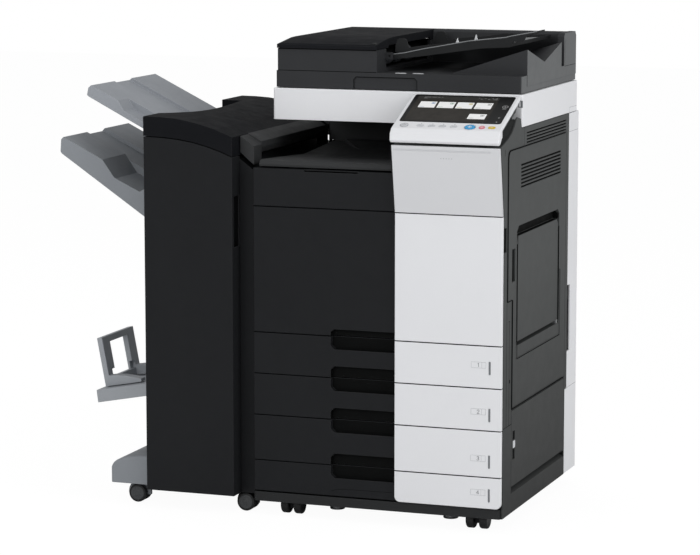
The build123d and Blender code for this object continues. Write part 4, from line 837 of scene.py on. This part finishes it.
piece("inner_panel", "cabinet", UNIT,
      [(slab, INNER, [(24, 448), (356, 448), (356, 462), (560, 462), (560, 470), (24, 470)],
        -1.2, 1.2),
       (slab, INNER, [(24, 562), (420, 562), (420, 632), (24, 632)], -1.2, 1.0)]
      + [(frame_of, INNER, x, 574, x + 70, 620, 3, 0.5, 2.2, 8) for x in range(40, 317, 92)],
      bevel=0.0006)
piece("transfer_unit", "side_door", UNIT,
      [(slab, front_at(90), [(572, 560), (597.5, 552), (597.5, 700), (580, 694), (572, 676)],
        -380, 0)]
      + [(slab, front_at(100 + 36 * k), [(566, 600), (573, 596), (573, 660), (566, 652)], -2.4, 0)
         for k in range(11)], bevel=0.0008)
piece("transfer_roller", "side_door", FEED_RUBBER,
      [(roller, (571, 96, 640), (571, 464, 640), 9, [(16, 352)])], bevel=0.0)
piece("door_inner_ribs", "side_door", DARK,
      [(slab, front_at(120 + 60 * k), [(598, 290), (611, 290), (611, 384), (598, 384)], -2, 0)
       for k in range(7)], bevel=0.0004)
piece("bypass_pickup", "side_door", FEED_RUBBER,
      [(roller, (604.5, 240, 416), (604.5, 330, 416), 6.0, [(18, 42), (50, 74)])], bevel=0.0)

# ---------------------------------------------------- scanner and feeder inside
# every other scale tick is 2 mm shorter
piece("glass_scales", "cabinet", PRINT,
      plates(top_at(1004), -0.3, 0.12, 0.2,
             [(44 + 20 * k, 166, 44.8 + 20 * k, 171 - (k % 2) * 2) for k in range(22)]
             + [(30.4, 178 + 20 * k, 36 - (k % 2) * 2, 178.8 + 20 * k) for k in range(15)], 2),
      bevel=0.0)
LID_UNDERSIDE = Plane((0, 0, 1006), (1, 0, 0), (0, -1, 0))           # outward -Z, (x, -y)
piece("lid_buffers", "document_feeder", RUBBER,
      [(lathe, LID_UNDERSIDE, x, -y, [(0, -0.6), (6, -0.6), (6, 1.0), (5, 1.6), (0, 1.6)], 24)
       for y in (160, 596) for x in (24, 592)], bevel=0.0)
piece("feeder_gears", "document_feeder", UNIT,
      [(lathe, front_at(176), x, z, [(0, -6), (radius, -6), (radius, 0), (radius - 1.2, 0.6),
                                     (4, 0.6), (4, 2.6), (0, 2.6)], 30)
       for x, z, radius in ((60, 1072, 14), (92, 1078, 11), (118, 1068, 9))], bevel=0.0)
piece("feeder_guide_ribs", "feeder_cover", UNIT,
      [(slab, front_at(200 + 44 * k), [(60, 1104.6), (60, 1097), (90, 1093), (190, 1093),
                                       (214, 1098.2), (214, 1104.6)], -2, 0) for k in range(8)],
      bevel=0.0005)
piece("carriage_lamp", "scan_carriage", TILE,
      plates(top_at(984), -0.5, 0.8, 1.4, [(62, 176, 65, 574), (69, 176, 72, 574)]),
      bevel=0.0003)
piece("scan_rail", "cabinet", GROUND_STEEL, [(shaft, (20, 200, 939), (596, 200, 939), 4.0)],
      bevel=0.0)

# ---------------------------------------------------------------- cabinet back
BACK = back_at(633)                        # takes -x, z

piece("back_screws", "cabinet", ZINC,
      [(screw, BACK, -x, z) for z in (60, 470, 900) for x in (18, 597)]
      + [(screw, BACK, -308, z) for z in (60, 900)], bevel=0.0)
piece("back_ribs", "cabinet", WHITE_JOINT,
      plates(BACK, -0.4, 0.06, 0.3, [(-604, z, -11, z + 0.9) for z in (250, 520)], 2),
      bevel=0.0)
piece("port_panel", "cabinet", FEEDER_GREY,
      [(frame_of, BACK, -575, 300, -395, 400, 3.0, -0.5, 1.6, 5),
       (slab, BACK, rounded(-572.5, 302.5, -397.5, 397.5, 3), -0.5, 0.5)], bevel=0.0005)
# x0, z0, x1, z1, wall, low, high, corner radius
PORTS = ((-560, 340, -544, 354, 1.4, 0.2, 3.2, 1.4), (-536, 340, -520, 354, 1.4, 0.2, 3.2, 1.4),
         (-508, 342, -494, 350, 1.2, 0.2, 2.8, 1.2), (-484, 338, -466, 354, 1.6, 0.2, 3.4, 1.6),
         (-452, 340, -410, 352, 1.6, 0.2, 3.0, 3.0))
piece("ports", "cabinet", ZINC, [(frame_of, BACK, *port) for port in PORTS], bevel=0.0003)
# x0, z0, x1, z1, corner radius
PORT_COVERS = ((-558.4, 341.6, -545.6, 352.4, 0.8), (-534.4, 341.6, -521.6, 352.4, 0.8),
               (-506.6, 343.4, -495.4, 348.8, 0.6), (-482.2, 339.8, -467.8, 352.2, 0.8),
               (-450.2, 341.8, -411.8, 350.2, 1.6))
piece("port_covers", "cabinet", BLACK_AND_SHADE,
      [(slab, BACK, rounded(*cover), 0.2, 1.4) for cover in PORT_COVERS], bevel=0.0003)
piece("mains_inlet", "cabinet", BLACK_AND_SHADE,
      [(slab, BACK, rounded(-345, 160, -270, 215, 3), -3.4, -1.4),
       (frame_of, BACK, -332, 170, -300, 200, 3.2, -2, 0.8, 4),
       (frame_of, BACK, -294, 172, -276, 200, 1.6, -2, 0.6, 2),
       (slab, BACK, rounded(-292, 174, -278, 198, 1.4), -2, 0.0)], bevel=0.0005)
piece("mains_pins", "cabinet", BRASS,
      plates(BACK, -2, 0.2, 0.8, [(-318 + dx, 181 + dz, -314 + dx, 191 + dz)
                                  for dx, dz in ((-7, -3), (0, 3), (7, -3))]), bevel=0.0003)
piece("fan_grilles", "cabinet", BLACK_AND_SHADE,
      plates(BACK, -9, -5, 4, [(x - 104, 556, x + 104, 724) for x in (-160, -460)])
      + [(ring, BACK, x, 640, outer, outer - 4, -5.4, -4.2)
         for x in (-160, -460) for outer in (70, 26)], bevel=0.0003)

# ------------------------------------------------------------------- finisher
FINISHER_BACK = back_at(598)               # takes -x, z
piece("finisher_screws", "cabinet", ZINC,
      [(screw, FINISHER_BACK, x, z) for x, z in
       ((250, 70), (20, 70), (250, 450), (20, 450), (250, 800), (20, 780))], bevel=0.0)
piece("finisher_back_joints", "cabinet", JOINT,
      plates(FINISHER_BACK, -0.4, 0.06, 0.3, [(10, z, 258, z + 0.9) for z in (230, 640)], 2),
      bevel=0.0)
piece("finisher_joint_cable", "cabinet", BLACK_AND_SHADE,
      [(shaft, (-14, 604, 300), (-14, 604, 420), 4.5),
       (shaft, (-14, 604, 416), (20, 604, 430), 4.5)], bevel=0.0)

# turned caps on the front and back faces of each wheel
WHEEL_Z = 22.3
HUB_PROFILE = [(17.2, -0.4), (17.0, 0.35), (15.6, 0.9), (14.2, 0.5), (7.6, 0.5), (6.6, 1.2),
               (5.4, 1.4), (0, 1.4)]
for side, x in (("left", -314), ("right", -32)):
    faces = [along((x, y + turn * 19.6, WHEEL_Z), (x, y + turn * 30, WHEEL_Z))[0]
             for y in (50, 560) for turn in (-1, 1)]
    piece("wheel_caps_" + side, "finisher_wheels_" + side, HUB,
          [(lathe, face, 0, 0, HUB_PROFILE, 40) for face in faces], bevel=0.0)


# --------------------------------------------------------------------- stage
def stage_floor():
    """A paper-white sweep: lit as a diffuse floor, nearly pure white to the camera."""
    mesh = bpy.data.meshes.new("floor")
    bm = bmesh.new()
    bmesh.ops.create_grid(bm, x_segments=2, y_segments=2, size=14)
    bm.to_mesh(mesh)
    bm.free()
    ob = bpy.data.objects.new("floor", mesh)
    bpy.context.scene.collection.objects.link(ob)
    material = bpy.data.materials.new("floor_paper")
    shader = Shader(material)
    surface = shader.nodes["Principled BSDF"]
    noise = shader.add("TexNoise", {"Scale": 3}).outputs[0]
    shader.feed(surface, {"Roughness": 0.8,
                          "Base Color": shader.remap(noise, to_min=0.90, to_max=0.94)})
    glow = shader.add("Emission", {"Strength": 1.03})
    seen = shader.add("LightPath").outputs["Is Camera Ray"]
    mix = shader.add("MixShader", {0: shader.multiply(seen, 0.93), 1: surface.outputs[0],
                                   2: glow.outputs[0]})
    shader.feed(shader.nodes["Material Output"], {0: mix.outputs[0]})
    mesh.materials.append(material)


def camera():
    data = bpy.data.cameras.new("camera")
    data.sensor_width = 36.0
    data.lens = 148.3709143
    data.clip_end = 100
    ob = bpy.data.objects.new("camera", data)
    bpy.context.scene.collection.objects.link(ob)
    ob.location = point(2480.24, -6221.14, 1557.35)
    tilt_down, turn_left = 0.14661, 0.34517
    ob.rotation_euler = (math.pi / 2 - tilt_down, 0.0, turn_left)
    bpy.context.scene.camera = ob


def area(name, location, target, size, power):
    """A rectangular light turned to its target."""
    data = bpy.data.lights.new(name, "AREA")
    data.shape = "RECTANGLE"
    data.size, data.size_y = size
    data.energy = power
    ob = bpy.data.objects.new(name, data)
    bpy.context.scene.collection.objects.link(ob)
    ob.location = location
    ob.rotation_euler = (Vector(target) - Vector(location)).to_track_quat("-Z", "Y").to_euler()
    return ob


def studio_world():
    """White to the camera, dimmer as a light."""
    world = bpy.data.worlds.new("studio")
    bpy.context.scene.world = world
    shader = Shader(world)
    shader.nodes.clear()
    output = shader.add("OutputWorld")
    white = (1, 1, 1, 1)
    seen = shader.add("Background", {0: white, 1: 1.0}).outputs[0]
    lit = shader.add("Background", {0: white, 1: 0.48}).outputs[0]
    camera_ray = shader.add("LightPath").outputs["Is Camera Ray"]
    mix = shader.add("MixShader", {0: camera_ray, 1: lit, 2: seen})
    shader.feed(output, {0: mix.outputs[0]})


stage_floor()
camera()
area("key_right", location=(4.2, -1.6, 2.6), target=(0.2, 0, 0.6), size=(2.6, 2.6), power=84)
area("front_fill", location=(-0.8, -4.5, 2.6), target=(0, 0, 0.6), size=(3.5, 2.5), power=70)
area("top", location=(0.0, -0.2, 4.2), target=(0, 0, 0.5), size=(3.5, 3.5), power=14)
area("left_back", location=(-3.6, 1.6, 2.4), target=(-0.2, 0, 0.7), size=(1.8, 2.2), power=10)
bay_fill = area("bay_fill", location=(0.08, -0.06, 0.948), target=(0.08, 0.0, 0.80),
                size=(0.30, 0.10), power=0.10)
bay_fill.visible_camera = False
studio_world()
scene = bpy.context.scene
scene.view_settings.view_transform = "Standard"
scene.view_settings.look = "None"
scene.cycles.use_denoising = True
